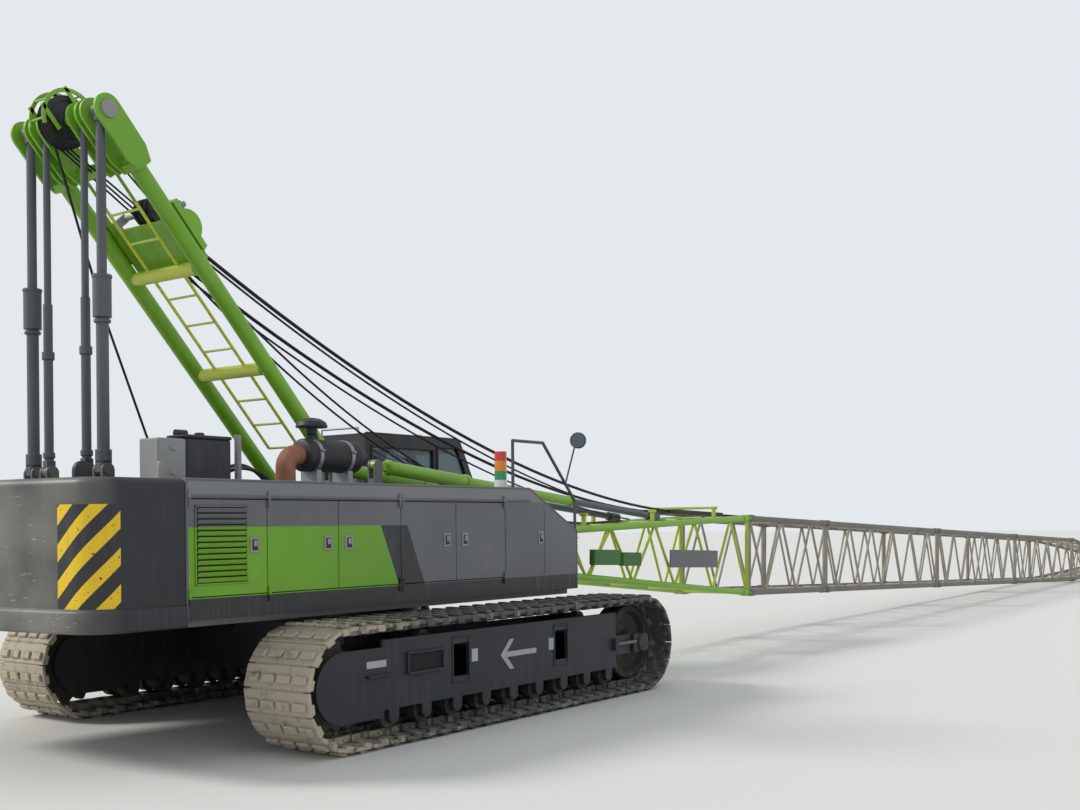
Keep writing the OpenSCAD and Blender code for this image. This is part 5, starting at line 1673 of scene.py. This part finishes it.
@dataclass
class CabTrim:
    """What is added to the cab: seals, wiper, rails, roof lamp, seat, levers and console."""

    y: Pair = (0.73, 1.64)
    roof: float = 2.95
    seal_r: float = 0.014
    window: tuple[Pair, ...] = (
        (2.13, 1.76), (2.82, 1.76), (2.84, 1.92), (2.76, 2.36), (2.51, 2.84), (2.13, 2.84))
    rear_window: tuple[Pair, ...] = ((0.96, 1.9), (2.05, 1.9), (2.05, 2.8), (0.96, 2.8))
    door: tuple[Pair, ...] = ((1.09, 1.62), (1.96, 1.62), (1.96, 2.72), (1.09, 2.72))
    door_y: float = 1.645
    pane: Point = (1.525, 1.615, 2.17)
    pane_size: Point = (0.89, 0.006, 1.12)
    handle: tuple[Point, ...] = (
        (1.9, 1.64, 1.5), (1.9, 1.69, 1.5), (1.9, 1.69, 1.38), (1.9, 1.64, 1.38))
    gutter_x: Pair = (0.9, 2.55)
    gutter_y: float = 0.42
    hoop_x: float = 0.9
    rail_x: float = 0.95
    rail_z: Pair = (1.5, 2.5)
    lamp_x: float = 2.3
    seat: Point = (1.56, 0.0, 1.625)
    console_y: float = 0.32
    fill: float = 0.85

    def make(self) -> None:
        """Makes the cab's fittings."""
        middle = sum(self.y) / 2
        self.windows(middle)
        self.rails(middle)
        self.inside(middle)

    def windows(self, middle: float) -> None:
        """Adds the seals of the windows and the door, the door's pane and handle, and the wiper.

        Args:
            middle: Y of the cab's middle.
        """
        seals, gate, pane, handle = Shape(), Shape(), Shape(), Shape()
        y0, y1 = self.y[0] - 0.002, self.y[1] + 0.002
        for shape, ring, y in ((seals, self.window, y0), (seals, self.window, y1),
                               (seals, self.rear_window, y0), (gate, self.door, self.door_y)):
            corners = np.array([[x, y, z] for x, z in ring])
            shape.rods(corners, np.roll(corners, -1, axis=0), self.seal_r, 8)
        pane.blocks(self.pane, self.pane_size, 0.001)
        handle.pipe(np.array(self.handle), 0.012, AHEAD, 10)
        gate.piece("cab_door_seal", BLACK, "cab_door")
        pane.piece("cab_door_glass", GLASS, "cab_door")
        handle.piece("cab_door_handle", ZINC, "cab_door")
        arm = np.array([[2.86, 0.0, 2.44], [2.93, -0.1, 2.15], [2.965, -0.18, 1.85]])
        seals.pipe(arm + [0, middle, 0], 0.010, (0, 1, 0.2), 8)
        seals.rods([2.915, middle - 0.16, 2.25], [2.972, middle - 0.20, 1.62], 0.008, 8)
        (x0, x1), z = self.gutter_x, self.roof + 0.006
        for y in (middle - self.gutter_y, middle + self.gutter_y):
            seals.rods([x0, y, z], [x1, y, z], self.seal_r, 8)
        seals.piece("cab_seals_and_wiper", BLACK, "upper")

    def rails(self, middle: float) -> None:
        """Adds the rail beside the door, the one on the roof, and the roof lamp.

        Args:
            middle: Y of the cab's middle.
        """
        rails, lamp = Shape(), Shape()
        inner, outer, (low, high) = self.y[1] - 0.01, self.y[1] + 0.05, self.rail_z
        grip = [[inner, low], [outer, low], [outer, high], [inner, high]]
        hoop = [[middle - 0.3, self.roof], [middle - 0.3, self.roof + 0.07],
                [middle + 0.3, self.roof + 0.07], [middle + 0.3, self.roof]]
        rails.pipe(np.insert(np.array(grip), 0, self.rail_x, axis=1), 0.014, AHEAD, 10)
        rails.pipe(np.insert(np.array(hoop), 0, self.hoop_x, axis=1), 0.012, AHEAD, 10)
        dome = [(0.01, 0), (0.05, 0), (0.055, 0.03), (0.04, 0.07), (0.01, 0.08)]
        lamp.turned(dome, (self.lamp_x, middle, self.roof), UP, 24)
        rails.piece("cab_rails", ZINC, "upper")
        lamp.piece("cab_roof_lamp", AMBER, "upper")

    def inside(self, middle: float) -> None:
        """Adds the padded seat on its base, the consoles and levers.

        Args:
            middle: Y of the cab's middle.
        """
        cushion, back, base, levers = Shape(), Shape(), Shape(), Shape()
        seat = np.array(self.seat) + [0, middle, 0]
        self.pad(cushion, seat, (0.26, 0.24, 0.062))
        self.pad(back, seat + [-0.26, 0, 0.355], (0.062, 0.235, 0.40))
        self.pad(back, seat + [-0.27, 0, 0.775], (0.045, 0.13, 0.09))
        base.blocks(seat - [0.01, 0, 0.205], [0.38, 0.32, 0.26], 0.015)
        base.blocks(seat - [0, 0, 0.069], [0.48, 0.44, 0.012], 0.004)
        knob = [(0.01, 0), (0.028, 0.01), (0.03, 0.04), (0.018, 0.07), (0.008, 0.075)]
        for y in (middle - self.console_y, middle + self.console_y):
            base.blocks([1.63, y, 1.535], [0.5, 0.13, 0.55], 0.02)
            levers.rods([1.8, y, 1.8], [1.84, y, 1.98], 0.012)
            levers.turned(knob, (1.84, y, 1.97), (0.2, 0, 1), 20)
        made = [cushion.piece("seat_cushion", CLOTH, "upper", 60.0, replaces=("cab_seat",)),
                back.piece("seat_back", CLOTH, "upper", 60.0)]
        base.piece("seat_base_and_consoles", BLACK, "upper")
        levers.piece("control_levers", BLACK, "upper")

    @staticmethod
    def pad(shape: Shape, centre: np.ndarray, half: Point) -> None:
        """Adds a crowned pad, the superellipsoid |x/a|^n + |y/b|^n + |z/c|^n = 1 with n = 3.

        Args:
            shape: Where it is added.
            centre: Its middle.
            half: Its half sizes.
        """
        lift = np.linspace(-np.pi / 2, np.pi / 2, 22)[1:-1, None]
        turn = np.linspace(0, TAU, 40, endpoint=False)[None, :]

        def curve(value: np.ndarray) -> np.ndarray:
            """Raises a cosine or sine to the power 2 / n and keeps its sign."""
            return np.sign(value) * np.abs(value) ** (2 / 3)

        x = half[0] * curve(np.cos(lift)) * curve(np.cos(turn))
        y = half[1] * curve(np.cos(lift)) * curve(np.sin(turn))
        z = half[2] * curve(np.sin(lift)) * np.ones_like(turn)
        shape.grid(np.stack([x, y, z], axis=-1) + centre)


@dataclass
class Winches:
    """Three winches between the carrying beams: flanged drums wound with wire rope.

    Each row gives a drum's X and Z, and the radii of its flanges and its core.
    """

    rows: tuple[tuple[float, ...], ...] = (
        (-2.1, 1.7, 0.29, 0.17), (-1.05, 1.64, 0.33, 0.21), (0.42, 1.62, 0.33, 0.21))
    length: float = 0.81
    hub_r: Pair = (0.04, 0.12)
    hub_l: float = 0.04
    flange_l: Pair = (0.045, 0.075)
    core_l: float = 0.08
    bolt_count: int = 10
    bolt_ring: float = 0.16
    rope: float = 0.011

    def make(self) -> None:
        """Makes the drums, and on each one layer of wraps, which are half circles of the rope."""
        drums, ropes = Shape(), Shape()
        half, (bore, hub), first = self.length / 2, self.hub_r, self.core_l + 0.005
        turn = np.linspace(0, TAU, self.bolt_count, endpoint=False)
        ring = self.bolt_ring * np.stack([np.cos(turn), 0 * turn, np.sin(turn)], axis=1)
        wraps = int((self.length - 2 * first) / (2 * self.rope))
        wave = np.linspace(0, np.pi, 5)[:-1]
        y = first - half + 2 * self.rope * np.arange(wraps)[:, None]
        y = (y + self.rope * (1 - np.cos(wave))).ravel()
        for x, z, flange, core in self.rows:
            side = [(bore, 0.0), (hub, 0.0), (hub, self.hub_l), (flange, self.flange_l[0]),
                    (flange, self.flange_l[1]), (core, self.core_l)]
            drums.turned(mirrored([(r, h - half) for r, h in side]), (x, 0, z), steps=48)
            for e in (-1, 1):
                inner, outer = (ring + [x, e * (half - gap), z] for gap in (0.046, 0.03))
                drums.rods(inner, outer, 0.014, 6)
            r = core + 0.012 + self.rope * np.tile(np.sin(wave), wraps)
            profile = [(core, y[0])] + list(zip(r, y)) + [(core, y[-1] + self.rope)]
            ropes.turned(profile, (x, 0, z), steps=40)
        drums.piece("winch_drums_turned", SLATE, "upper", 30.0, replaces=("winch_drums",))
        ropes.piece("winch_ropes", GREASED, "upper", 60.0)


@dataclass
class GantryTrim:
    """Sheaves, rope guards, pins and the bridle's sheaves on the folding gantry."""

    head_radius: float = 0.215
    head_y: Span = (-0.047, 0.0, 0.047)
    guard_r: Pair = (0.235, 0.27)
    guard_y: float = 0.09
    guard_t: float = 0.012
    guard_turn: Pair = (-65, 75)
    caps: tuple[Pair, ...] = ((0.614, 0.05), (0.366, 0.04))
    bridle: tuple[tuple[float, float, float, Span], ...] = (
        (4.13, 0.255, 0.125, (-0.1, -0.04, 0.04, 0.1)),
        (3.74, 0.19, 0.085, (-0.33, -0.27, 0.27, 0.33)))
    shaft_r: float = 0.026
    shaft_y: float = 0.44

    def make(self) -> None:
        """Makes the gantry's trim."""
        packs, guards, pins, small = Shape(), Shape(), Shape(), Shape()
        for y in self.head_y:
            wheel = sheave(self.head_radius, 0.044, 0.046)
            packs.turned(wheel, tuple(GANTRY.at(GANTRY_LEN, y, 0)), steps=48)
        self.guards(guards)
        for e in (-1, 1):
            for y, r in self.caps:
                rim = r + 0.025
                cap = [(0.01, -0.006), (rim, -0.006), (rim, 0.014), (r, 0.02), (0.01, 0.024)]
                pins.turned(cap, tuple(GANTRY.at(GANTRY_LEN, e * y, 0)), (0, e, 0), 28)
            inner, outer = (GANTRY.at(GANTRY_LEN, e * y, 0) for y in (0.38, 0.615))
            pins.rods(inner, outer, 0.034, 16)
        self.bridle_sheaves(small, pins)
        packs.piece("head_sheaves_grooved", GREASED, "gantry", 30.0, replaces=("head_sheaves",))
        guards.piece("rope_guards", LIME, "gantry")
        pins.piece("gantry_pins", PALE, "gantry")
        small.piece("bridle_sheaves", GREASED, "gantry", 30.0)

    def guards(self, guards: Shape) -> None:
        """Adds two ring segments over the head's sheaves, with their arms and cross rods.

        Args:
            guards: Where they are added.
        """
        inner, outer = self.guard_r
        outline = np.vstack([arc((GANTRY_LEN, 0), outer, *self.guard_turn, 15),
                             arc((GANTRY_LEN, 0), inner, *self.guard_turn[::-1], 15)])
        half = self.guard_t / 2
        for y in (-self.guard_y, self.guard_y):
            guards.plate(GANTRY.flat(outline), y - half, y + half, 0.002)
            arms = [[GANTRY_LEN + 0.12, y, v] for v in (-0.14, 0.14)]
            GANTRY.boxes(guards, arms, [0.24, self.guard_t, 0.04], 0.003)
        s, v = arc((GANTRY_LEN, 0), 0.255, *self.guard_turn, 15)[1::4].T
        ends = GANTRY.at(s, 0, v)
        guards.rods(ends - [0, 0.095, 0], ends + [0, 0.095, 0], 0.009, 8)

    def bridle_sheaves(self, small: Shape, pins: Shape) -> None:
        """Adds the floating block's sheaves on their shafts.

        Args:
            small: Sheaves.
            pins: Bright shafts.
        """
        for s, v, radius, rows in self.bridle:
            wheel = sheave(radius, 0.04, self.shaft_r)
            for y in rows:
                small.turned(wheel, tuple(GANTRY.at(s, y, v)), steps=32)
            left, right = (GANTRY.at(s, y, v) for y in (-self.shaft_y, self.shaft_y))
            pins.rods(left, right, self.shaft_r, 14)
            for y in (-0.4, 0.4):
                GANTRY.boxes(pins, [s, y, v / 2 + 0.06], [0.08, 0.02, v - 0.09], 0.004)


@dataclass
class StayTrim:
    """Collars, sight rings and clevis feet of the stays, and the rings of the backstops.

    A row of rings gives the place along the tube, the outer radius, the length and the bore.
    """

    stay_y: float = 0.5
    jack_y: float = 0.27
    stay_rings: tuple[Span, ...] = (
        (0.12, 0.066, 0.10, 0.05), (1.22, 0.068, 0.03, 0.05), (1.585, 0.081, 0.03, 0.05))
    jack_rings: tuple[Span, ...] = ((1.0, 0.052, 0.07, 0.0384), (0.15, 0.05, 0.05, 0.0384))
    stay_rod_ring: Span = (2.875, 0.056, 0.05, 0.04)
    jack_rod_ring: Span = (2.86, 0.044, 0.05, 0.03)
    feet: tuple[Pair, ...] = ((0.5, 0.054), (0.27, 0.046))
    backstop_y: float = 0.33
    backstop_rings: tuple[Span, ...] = (
        (0.2, 0.084, 0.05, 0.074), (1.49, 0.086, 0.05, 0.06), (3.6, 0.074, 0.05, 0.0445))
    fork_ring: Span = (5.54, 0.06, 0.04, 0.044)

    def make(self) -> None:
        """Makes the trim on the lower and upper parts of both kinds."""
        lower, upper, pins = Shape(), Shape(), Shape()
        for e in (-1, 1):
            for y, rings in ((self.stay_y, self.stay_rings), (self.jack_y, self.jack_rings)):
                for row in rings:
                    self.ring(lower, STAY, e * y, *row)
            STAY.boxes(lower, [0.05, e * self.stay_y, 0], [0.16, 0.094, 0.11], 0.012)
            self.ring(upper, STAY, e * self.stay_y, *self.stay_rod_ring)
            self.ring(upper, STAY, e * self.jack_y, *self.jack_rod_ring)
            for gap, width in self.feet:
                for f in (-1, 1):
                    inner, outer = (STAY.at(0, e * gap + f * reach, 0)
                                    for reach in (width, width + 0.022))
                    pins.rods(inner, outer, 0.042, 20)
        lower.piece("stay_collars", BAR_PAINT, "stays_lower")
        upper.piece("stay_bar_rings", BAR_PAINT, "stays_upper")
        pins.piece("stay_foot_pins", BOLT, "upper")
        self.backstops()

    @staticmethod
    def ring(shape: Shape, line: Axes, y: float, s: float, radius: float, tall: float,
             bore: float) -> None:
        """Adds a rounded ring round a tube.

        Args:
            shape: Where it is added.
            line: The tube's middle line.
            y: Its distance from the middle plane.
            s: Middle of the ring along the tube.
            radius: Outer radius.
            tall: Length of the ring.
            bore: Radius of the tube.
        """
        half, rim = tall / 2, 0.005
        side = [(bore - 0.004, -half), (radius - rim, -half), (radius, -half + rim)]
        way = (line.along[0], 0, line.along[1])
        shape.turned(mirrored(side), tuple(line.at(s, y, 0)), way, 28, ring=True)

    def backstops(self) -> None:
        """Adds the rings of the backstops' tubes and of the forks on their rods."""
        lower, upper = Shape(), Shape()
        for y in (-self.backstop_y, self.backstop_y):
            for row in self.backstop_rings:
                self.ring(lower, BACKSTOP, y, *row)
            self.ring(upper, BACKSTOP, y, *self.fork_ring)
        lower.piece("backstop_rings", LIME, "backstops_lower")
        upper.piece("backstop_fork_rings", GREASED, "backstops_upper")


@dataclass
class Boom:
    """The lattice boom: four chords, zigzag lacing on its four sides, feet, joints and a head.

    Its half width and half depth run straight between their values at a few stations. A section
    has its node, the ends and bends of its chords, the span of its lacing, and its bays.
    """

    width_at: tuple[Pair, ...] = ((0.0, 0.5), (6.755, 0.59), (PARALLEL_END, 0.59), (34.0, 0.28))
    depth_at: tuple[Pair, ...] = (
        (0.42, 0.19), (6.755, HALF_DEPTH), (PARALLEL_END, HALF_DEPTH), (34.0, 0.21))
    sections: tuple[tuple[str, Span, float, float, int], ...] = (
        ("boom_butt", (0.42, 6.755, 6.8), 0.72, 6.755, 11),
        ("boom_insert_short", (6.8, 9.8), 6.845, 9.755, 5),
        ("boom_insert_long_1", (9.8, 15.8), 9.845, 15.755, 11),
        ("boom_insert_long_2", (15.8, 21.8), 15.845, 21.755, 11),
        ("boom_insert_long_3", (21.8, 27.8), 21.845, 27.755, 11),
        ("boom_tip", (27.8, PARALLEL_END, 34.0), 27.845, 33.7, 11))
    lace_r: float = 0.020
    frame_r: float = 0.028
    sleeve_r: float = 0.056
    foot_y: float = 0.5
    foot_r: float = 0.12
    backstop_at: Pair = (4.395, 0.53)
    backstop_y: float = 0.33
    bracket_s: Span = (2.35, 4.05, 5.85)
    bracket_y: float = 0.49
    head_s: float = 34.0
    cheek_r: float = 0.16
    cheek_y: float = 0.28
    cheek_t: float = 0.06
    sheave_y: Span = (-0.18, -0.06, 0.06, 0.18)

    def make(self) -> None:
        """Makes all sections, the fittings on them and the head."""
        for row in self.sections:
            self.section(*row)
        self.fittings()
        self.head()

    def depth(self, s: object) -> object:
        """Gives the half depth at stations along the boom."""
        return np.interp(s, *np.transpose(self.depth_at))

    def corner(self, s: object, k: object) -> np.ndarray:
        """Gives the chord's point: (s, +-half width, +-half depth), with k = 0 to 3 going round.

        Args:
            s: Stations along the boom.
            k: Chord numbers.

        Returns:
            The points.
        """
        s, k = np.asarray(s, float), np.asarray(k) % 4
        y = np.interp(s, *np.transpose(self.width_at)) * np.where((k == 0) | (k == 3), 1, -1)
        return BOOM.at(s, y, self.depth(s) * np.where(k < 2, 1, -1))

    def section(self, name: str, stations: Span, first: float, last: float, bays: int) -> None:
        """Makes one section: chords with joint lugs, and lacing that zigzags from bay to bay.

        Args:
            name: The node that it replaces.
            stations: Ends and bends of the chords.
            first: Start of the lacing.
            last: End of the lacing.
            bays: Number of bays.
        """
        butt = name == "boom_butt"
        chords, lacing = Shape(), Shape()
        faces = np.arange(4)
        for a, b in zip(stations, stations[1:]):
            chords.rods(self.corner(a, faces), self.corner(b, faces), CHORD_R, 18)
        grid_s = np.linspace(first, last, bays + 1)
        face, bay = (m.ravel() for m in np.meshgrid(faces, np.arange(bays)))
        start = np.where(bay % 2 == 0, face, face + 1)
        near = self.corner(grid_s[bay], start)
        far = self.corner(grid_s[bay + 1], 2 * face + 1 - start)
        lacing.rods(near, far, self.lace_r, 12)
        for s in (first,) if name == "boom_tip" else (first, last):
            lacing.rods(self.corner(s, faces), self.corner(s, faces + 1), self.frame_r, 12)
        for s, way in ((stations[0], 1), (stations[-1], -1)):
            if 1 < s < 33:
                self.joint(chords, s, way)
        if butt:
            self.foot(chords)
        chords.piece(name + "_chords", LIME if butt else BOOM_PAINT, "boom", replaces=(name,))
        lacing.piece(name + "_lacing", LIME_TUBE if butt else WORN_TUBE, "boom")

    def joint(self, chords: Shape, s: float, way: int) -> None:
        """Adds the pinned lugs of a section's end: a sleeve, an eye and a pin on each chord.

        Args:
            chords: Where they are added.
            s: Station of the end.
            way: 1 if the section starts here, -1 if it ends here.
        """
        near, far, pin = (self.corner(s + way * run, np.arange(4)) for run in (0.05, 0.2, 0.03))
        chords.rods(near, far, self.sleeve_r, 16)
        chords.rods(pin - [0, 0.075, 0], pin + [0, 0.075, 0], 0.02, 12)
        turns = np.repeat(BOOM.turn()[None], 4, axis=0)
        ear_y = 0.052 if way > 0 else 0.03
        for e in (-1, 1):
            chords.blocks(pin + [0, e * ear_y, 0], [0.055, 0.014, 0.11], 0.004, turns)

    def foot(self, chords: Shape) -> None:
        """Adds the butt's foot plates with their eyes, and the lug of each backstop.

        Args:
            chords: Where they are added.
        """
        outline = np.vstack([arc((0, 0), self.foot_r, 100, 260, 15), [[0.48, -0.22], [0.48, 0.22]]])
        s, v = self.backstop_at
        lug = np.vstack([arc((s, v), 0.045, 0, 180, 11), [[s - 0.045, 0.36], [s + 0.045, 0.36]]])
        for e in (-1, 1):
            for f in (-1, 1):
                y = e * self.foot_y + f * 0.037
                chords.plate(BOOM.flat(outline), y - 0.022, y + 0.022, 0.005)
            y = e * self.backstop_y
            chords.plate(BOOM.flat(lug), y - 0.027, y + 0.027, 0.004)
            BOOM.boxes(chords, [0.3, e * self.foot_y, 0.0], [0.3, 0.07, 0.3], 0.006)
            for f in (-1, 1):
                place = BOOM.at(0, e * self.foot_y + f * 0.059, 0)
                chords.turned(disc(0.03, 0.1, -0.004, 0.004), tuple(place), ACROSS, 24)
        chords.rods(self.corner(s, 0), self.corner(s, 1), self.frame_r, 12)

    def fittings(self) -> None:
        """Adds rope brackets, a plain platform, a blank plate and side boxes on the butt."""
        plates, boxes, green, mat = Shape(), Shape(), Shape(), Shape()
        for s in self.bracket_s:
            v = float(self.depth(s)) + CHORD_R
            for y in (-self.bracket_y, self.bracket_y):
                BOOM.boxes(green, [s, y, v + 0.06], [0.05, 0.05, 0.15], 0.005)
                BOOM.boxes(green, [s, y, v + 0.14], [0.06, 0.1, 0.04], 0.005)
        BOOM.boxes(green, [s, 0, v + 0.14], [0.056, 2 * self.bracket_y, 0.036], 0.005)
        BOOM.boxes(mat, [5.75, 0.0, 0.63], [1.5, 0.62, 0.06], 0.008)
        BOOM.boxes(plates, [5.0, -0.635, -0.06], [1.4, 0.02, 0.25], 0.004)
        sizes = [[0.62, 0.09, 0.2], [0.46, 0.09, 0.18]]
        BOOM.boxes(boxes, [[2.75, -0.56, -0.05], [3.36, -0.56, -0.07]], sizes, 0.01)
        plates.piece("boom_blank_plate", GREY, "boom")
        boxes.piece("boom_boxes", BOX_GREEN, "boom")
        green.piece("boom_rope_brackets", LIME_TUBE, "boom")
        mat.piece("boom_platform", BLACK, "boom")

    def head(self) -> None:
        """Adds the tip's cheeks, shaft, grooved sheaves, guards and lugs."""
        cheeks, wheels = Shape(), Shape()
        s, side, half = self.head_s, self.cheek_y, self.cheek_t / 2
        rear, front = s - 0.6, s - 0.12
        outline = np.vstack([arc((s, 0), self.cheek_r, -82, 82, 19),
                             [[front, 0.24], [rear, 0.24], [rear, -0.24], [front, -0.24]]])
        lug = np.array([[s - 0.61, 0.0], [s - 0.49, 0.0], [s - 0.49, 0.31], [s - 0.61, 0.31]])
        for e in (-1, 1):
            cheeks.plate(BOOM.flat(outline), e * side - half, e * side + half, 0.006)
            cheeks.rods(BOOM.at(s, e * 0.31, 0), BOOM.at(s, e * 0.335, 0), 0.085, 24)
            cheeks.plate(BOOM.flat(lug), e * 0.2 - 0.02, e * 0.2 + 0.02, 0.004)
        self.bar(cheeks, s - 0.55, 0, 0.08, 24)
        self.bar(cheeks, s, 0, 0.048, 20)
        eye = disc(0.032, 0.065, -0.02, 0.02)
        cheeks.turned(eye, tuple(BOOM.at(s - 0.55, 0, -0.34)), ACROSS, 32, ring=True)
        BOOM.boxes(cheeks, [s - 0.55, 0, -0.175], [0.11, 0.036, 0.215], 0.003)
        for y in self.sheave_y:
            wheels.turned(sheave(0.29, 0.058, 0.052), tuple(BOOM.at(s, y, 0)), steps=48)
        for v in (-0.243, 0.243):
            self.bar(cheeks, s - 0.2, v, 0.014, 10)
        cheeks.piece("boom_head_cheeks", BOOM_PAINT, "boom")
        wheels.piece("boom_head_sheaves", GREASED, "boom", 30.0, replaces=("boom_sheaves",))

    def bar(self, shape: Shape, s: float, v: float, radius: float, sides: int) -> None:
        """Adds a round bar from cheek to cheek.

        Args:
            shape: Where it is added.
            s: Its station along the boom.
            v: Its height over the middle line.
            radius: Its radius.
            sides: Number of facets round it.
        """
        ends = (BOOM.at(s, y, v) for y in (-self.cheek_y, self.cheek_y))
        shape.rods(*ends, radius, sides)


@dataclass
class Rigging:
    """Ropes: pendants from the bridle to the boom's head, and the boom hoist's reeving.

    A slack rope is a chord of the gap plus a parabola, 4 f t (1 - t) downwards. A row of thin
    ropes gives Y, the sag f and the station where the rope meets the boom.
    """

    lay_s: float = 5.7
    lay_v: float = 0.6263
    head_s: float = 33.389
    head_rise: float = 0.0463
    sag: float = 0.56
    radius: float = 0.018
    rope_y: float = 0.2
    top_at: Pair = (3.862, 0.225)
    thin_at: Pair = (3.76, 0.2)
    thin_r: float = 0.011
    thin: tuple[Point, ...] = (
        (-0.228, 0.42, 4.6), (0.228, 0.42, 4.6), (-0.09, 0.78, 3.9), (0.09, 0.78, 3.9))
    link_s: Span = (9.8, 15.8, 21.8, PARALLEL_END)
    fall_y: Span = (-0.047, 0.0, 0.047)
    fall_v: tuple[Pair, ...] = ((0.2, 0.375), (-0.195, 0.14))
    fall_s: float = 4.13
    fall_r: float = 0.009
    lead: tuple[Point, ...] = (
        (-3.56, 0.02, 5.08), (-3.28, 0.02, 4.25), (-3.06, 0.02, 3.62), (-2.66, 0.02, 2.66),
        (-2.36, 0.02, 1.9), (-2.28, 0.02, 1.72))

    def make(self) -> None:
        """Makes every rope."""
        depth = Boom().depth
        self.slack_pendants(depth)
        self.laid_pendants(depth)
        self.reeving()

    def hanging(self, start: np.ndarray, end: np.ndarray, sag: float) -> np.ndarray:
        """Gives the points of a slack rope.

        Args:
            start: Upper end.
            end: Lower end.
            sag: Greatest distance under the straight line.

        Returns:
            The points.
        """
        t = np.linspace(0, 1, 33)[:, None]
        return start + (end - start) * t - np.array([0, 0, 4 * sag]) * t * (1 - t)

    def slack_pendants(self, depth: Callable[[float], float]) -> None:
        """Adds the pendants and thin ropes that hang between the bridle and the boom.

        Args:
            depth: The boom's half depth at a station.
        """
        slack = Shape()
        top = GANTRY.at(self.top_at[0], 0, self.top_at[1])
        low = BOOM.at(self.lay_s, 0, self.lay_v)
        for y in (-self.rope_y, self.rope_y):
            slack.pipe(self.hanging(top, low, self.sag) + [0, y, 0], self.radius, ACROSS, 14)
            for end in (top, low):
                slack.rods(end + [0, y - 0.035, 0], end + [0, y + 0.035, 0], 0.032, 14)
        start = GANTRY.at(self.thin_at[0], 0, self.thin_at[1])
        for y, sag, s in self.thin:
            end = BOOM.at(s, 0, float(depth(s)) + 0.06)
            slack.pipe(self.hanging(start, end, sag) + [0, y, 0], self.thin_r, ACROSS, 10)
        made = slack.loose("pendants_slack", ROPE, ("pendants_hanging",))
        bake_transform(made)

    def laid_pendants(self, depth: Callable[[float], float]) -> None:
        """Adds the pendants that lie on the boom, with their links and the sockets at its head.

        Args:
            depth: The boom's half depth at a station.
        """
        laid = Shape()
        end_v = float(depth(self.head_s)) + self.head_rise
        for y in (-self.rope_y, self.rope_y):
            stations = [self.lay_s, 16.0, PARALLEL_END, self.head_s]
            laid.pipe(BOOM.at(stations, y, [self.lay_v] * 3 + [end_v]), self.radius, ACROSS, 14)
            for s in self.link_s:
                BOOM.boxes(laid, [s, y, self.lay_v + 0.002], [0.2, 0.05, 0.052], 0.008)
            laid.rods(BOOM.at(33.25, y, end_v + 0.008), BOOM.at(33.39, y, end_v), 0.028, 12)
        laid.piece("pendants_on_boom", ROPE, "boom", replaces=("pendants_laid",))

    def reeving(self) -> None:
        """Adds the falls between head and bridle, and the lead down to the rear winch."""
        falls, lead = Shape(), Shape()
        for y in self.fall_y:
            for v, w in self.fall_v:
                upper = GANTRY.at(GANTRY_LEN - 0.02, y, v)
                falls.rods(upper, GANTRY.at(self.fall_s, y * 1.6, w), self.fall_r, 8)
        falls.piece("hoist_falls", ROPE, "gantry")
        path = np.array(self.lead)
        t = np.linspace(0, len(path) - 1, 26)
        smooth = np.stack([np.interp(t, np.arange(len(path)), row) for row in path.T], axis=1)
        lead.pipe(smooth, self.thin_r, ACROSS, 10)
        made = lead.loose("hoist_lead", ROPE, ())
        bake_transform(made)


def main() -> None:
    """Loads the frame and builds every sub-assembly."""
    for leftover in list(bpy.data.objects):
        bpy.data.objects.remove(leftover)
    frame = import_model()
    Camera().make()
    Studio().make()
    dress_nodes(frame["nodes"])
    for side in Side:
        TrackChain(side).make()
    for part in (RunningGear(), TrackFrameTrim(), Counterweight(), HoodTrim(), RoofFittings(),
                 RailTrim(), CabTrim(), Winches(), GantryTrim(), StayTrim(), Boom(), Rigging()):
        LOG.info("-- %s", type(part).__name__)
        part.make()


def dress_nodes(nodes: dict[str, bpy.types.Object]) -> None:
    """Gives each node of the frame its finish.

    Args:
        nodes: The frame's nodes by name.
    """
    finishes = {
        HOOD: ["hood_right", "hood_left", "left_door_1", "left_door_2"]
              + [f"hood_door_{i}" for i in range(1, 6)],
        SLATE: ["carbody", "cab", "cab_door", "deck_boxes", "winch_drums"],
        FRAME_PAINT: ["track_frame_left", "track_frame_right"],
        GREY: ["deck", "deck_webs", "deck_brackets"],
        GANTRY_PAINT: ["a_frame"],
        LIME: ["bridle", "backstop_tubes", "boom_butt"],
        BAR_PAINT: ["stay_tubes", "stay_rods", "backstop_rods"],
        BOOM_PAINT: ["boom_insert_short", "boom_tip"]
                    + [f"boom_insert_long_{i}" for i in range(1, 4)],
        GREASED: ["slew_ring", "head_sheaves", "boom_sheaves"],
        SHOE: ["track_left", "track_right"],
        WHEEL: ["rollers", "track_wheels"],
        WEIGHT: ["counterweight"],
        IRON: ["engine"],
        GLASS: ["cab_glass"],
        CLOTH: ["cab_seat"],
        BLACK: ["air_cleaner"],
        RAIL: ["handrail"],
        LENS: ["lamp_tower"],
        ROPE: ["pendants_laid", "pendants_hanging"],
    }
    for finish, names in finishes.items():
        for name in names:
            nodes[name].data.materials.clear()
            nodes[name].data.materials.append(finish.material())


if __name__ == "__main__":
    main()
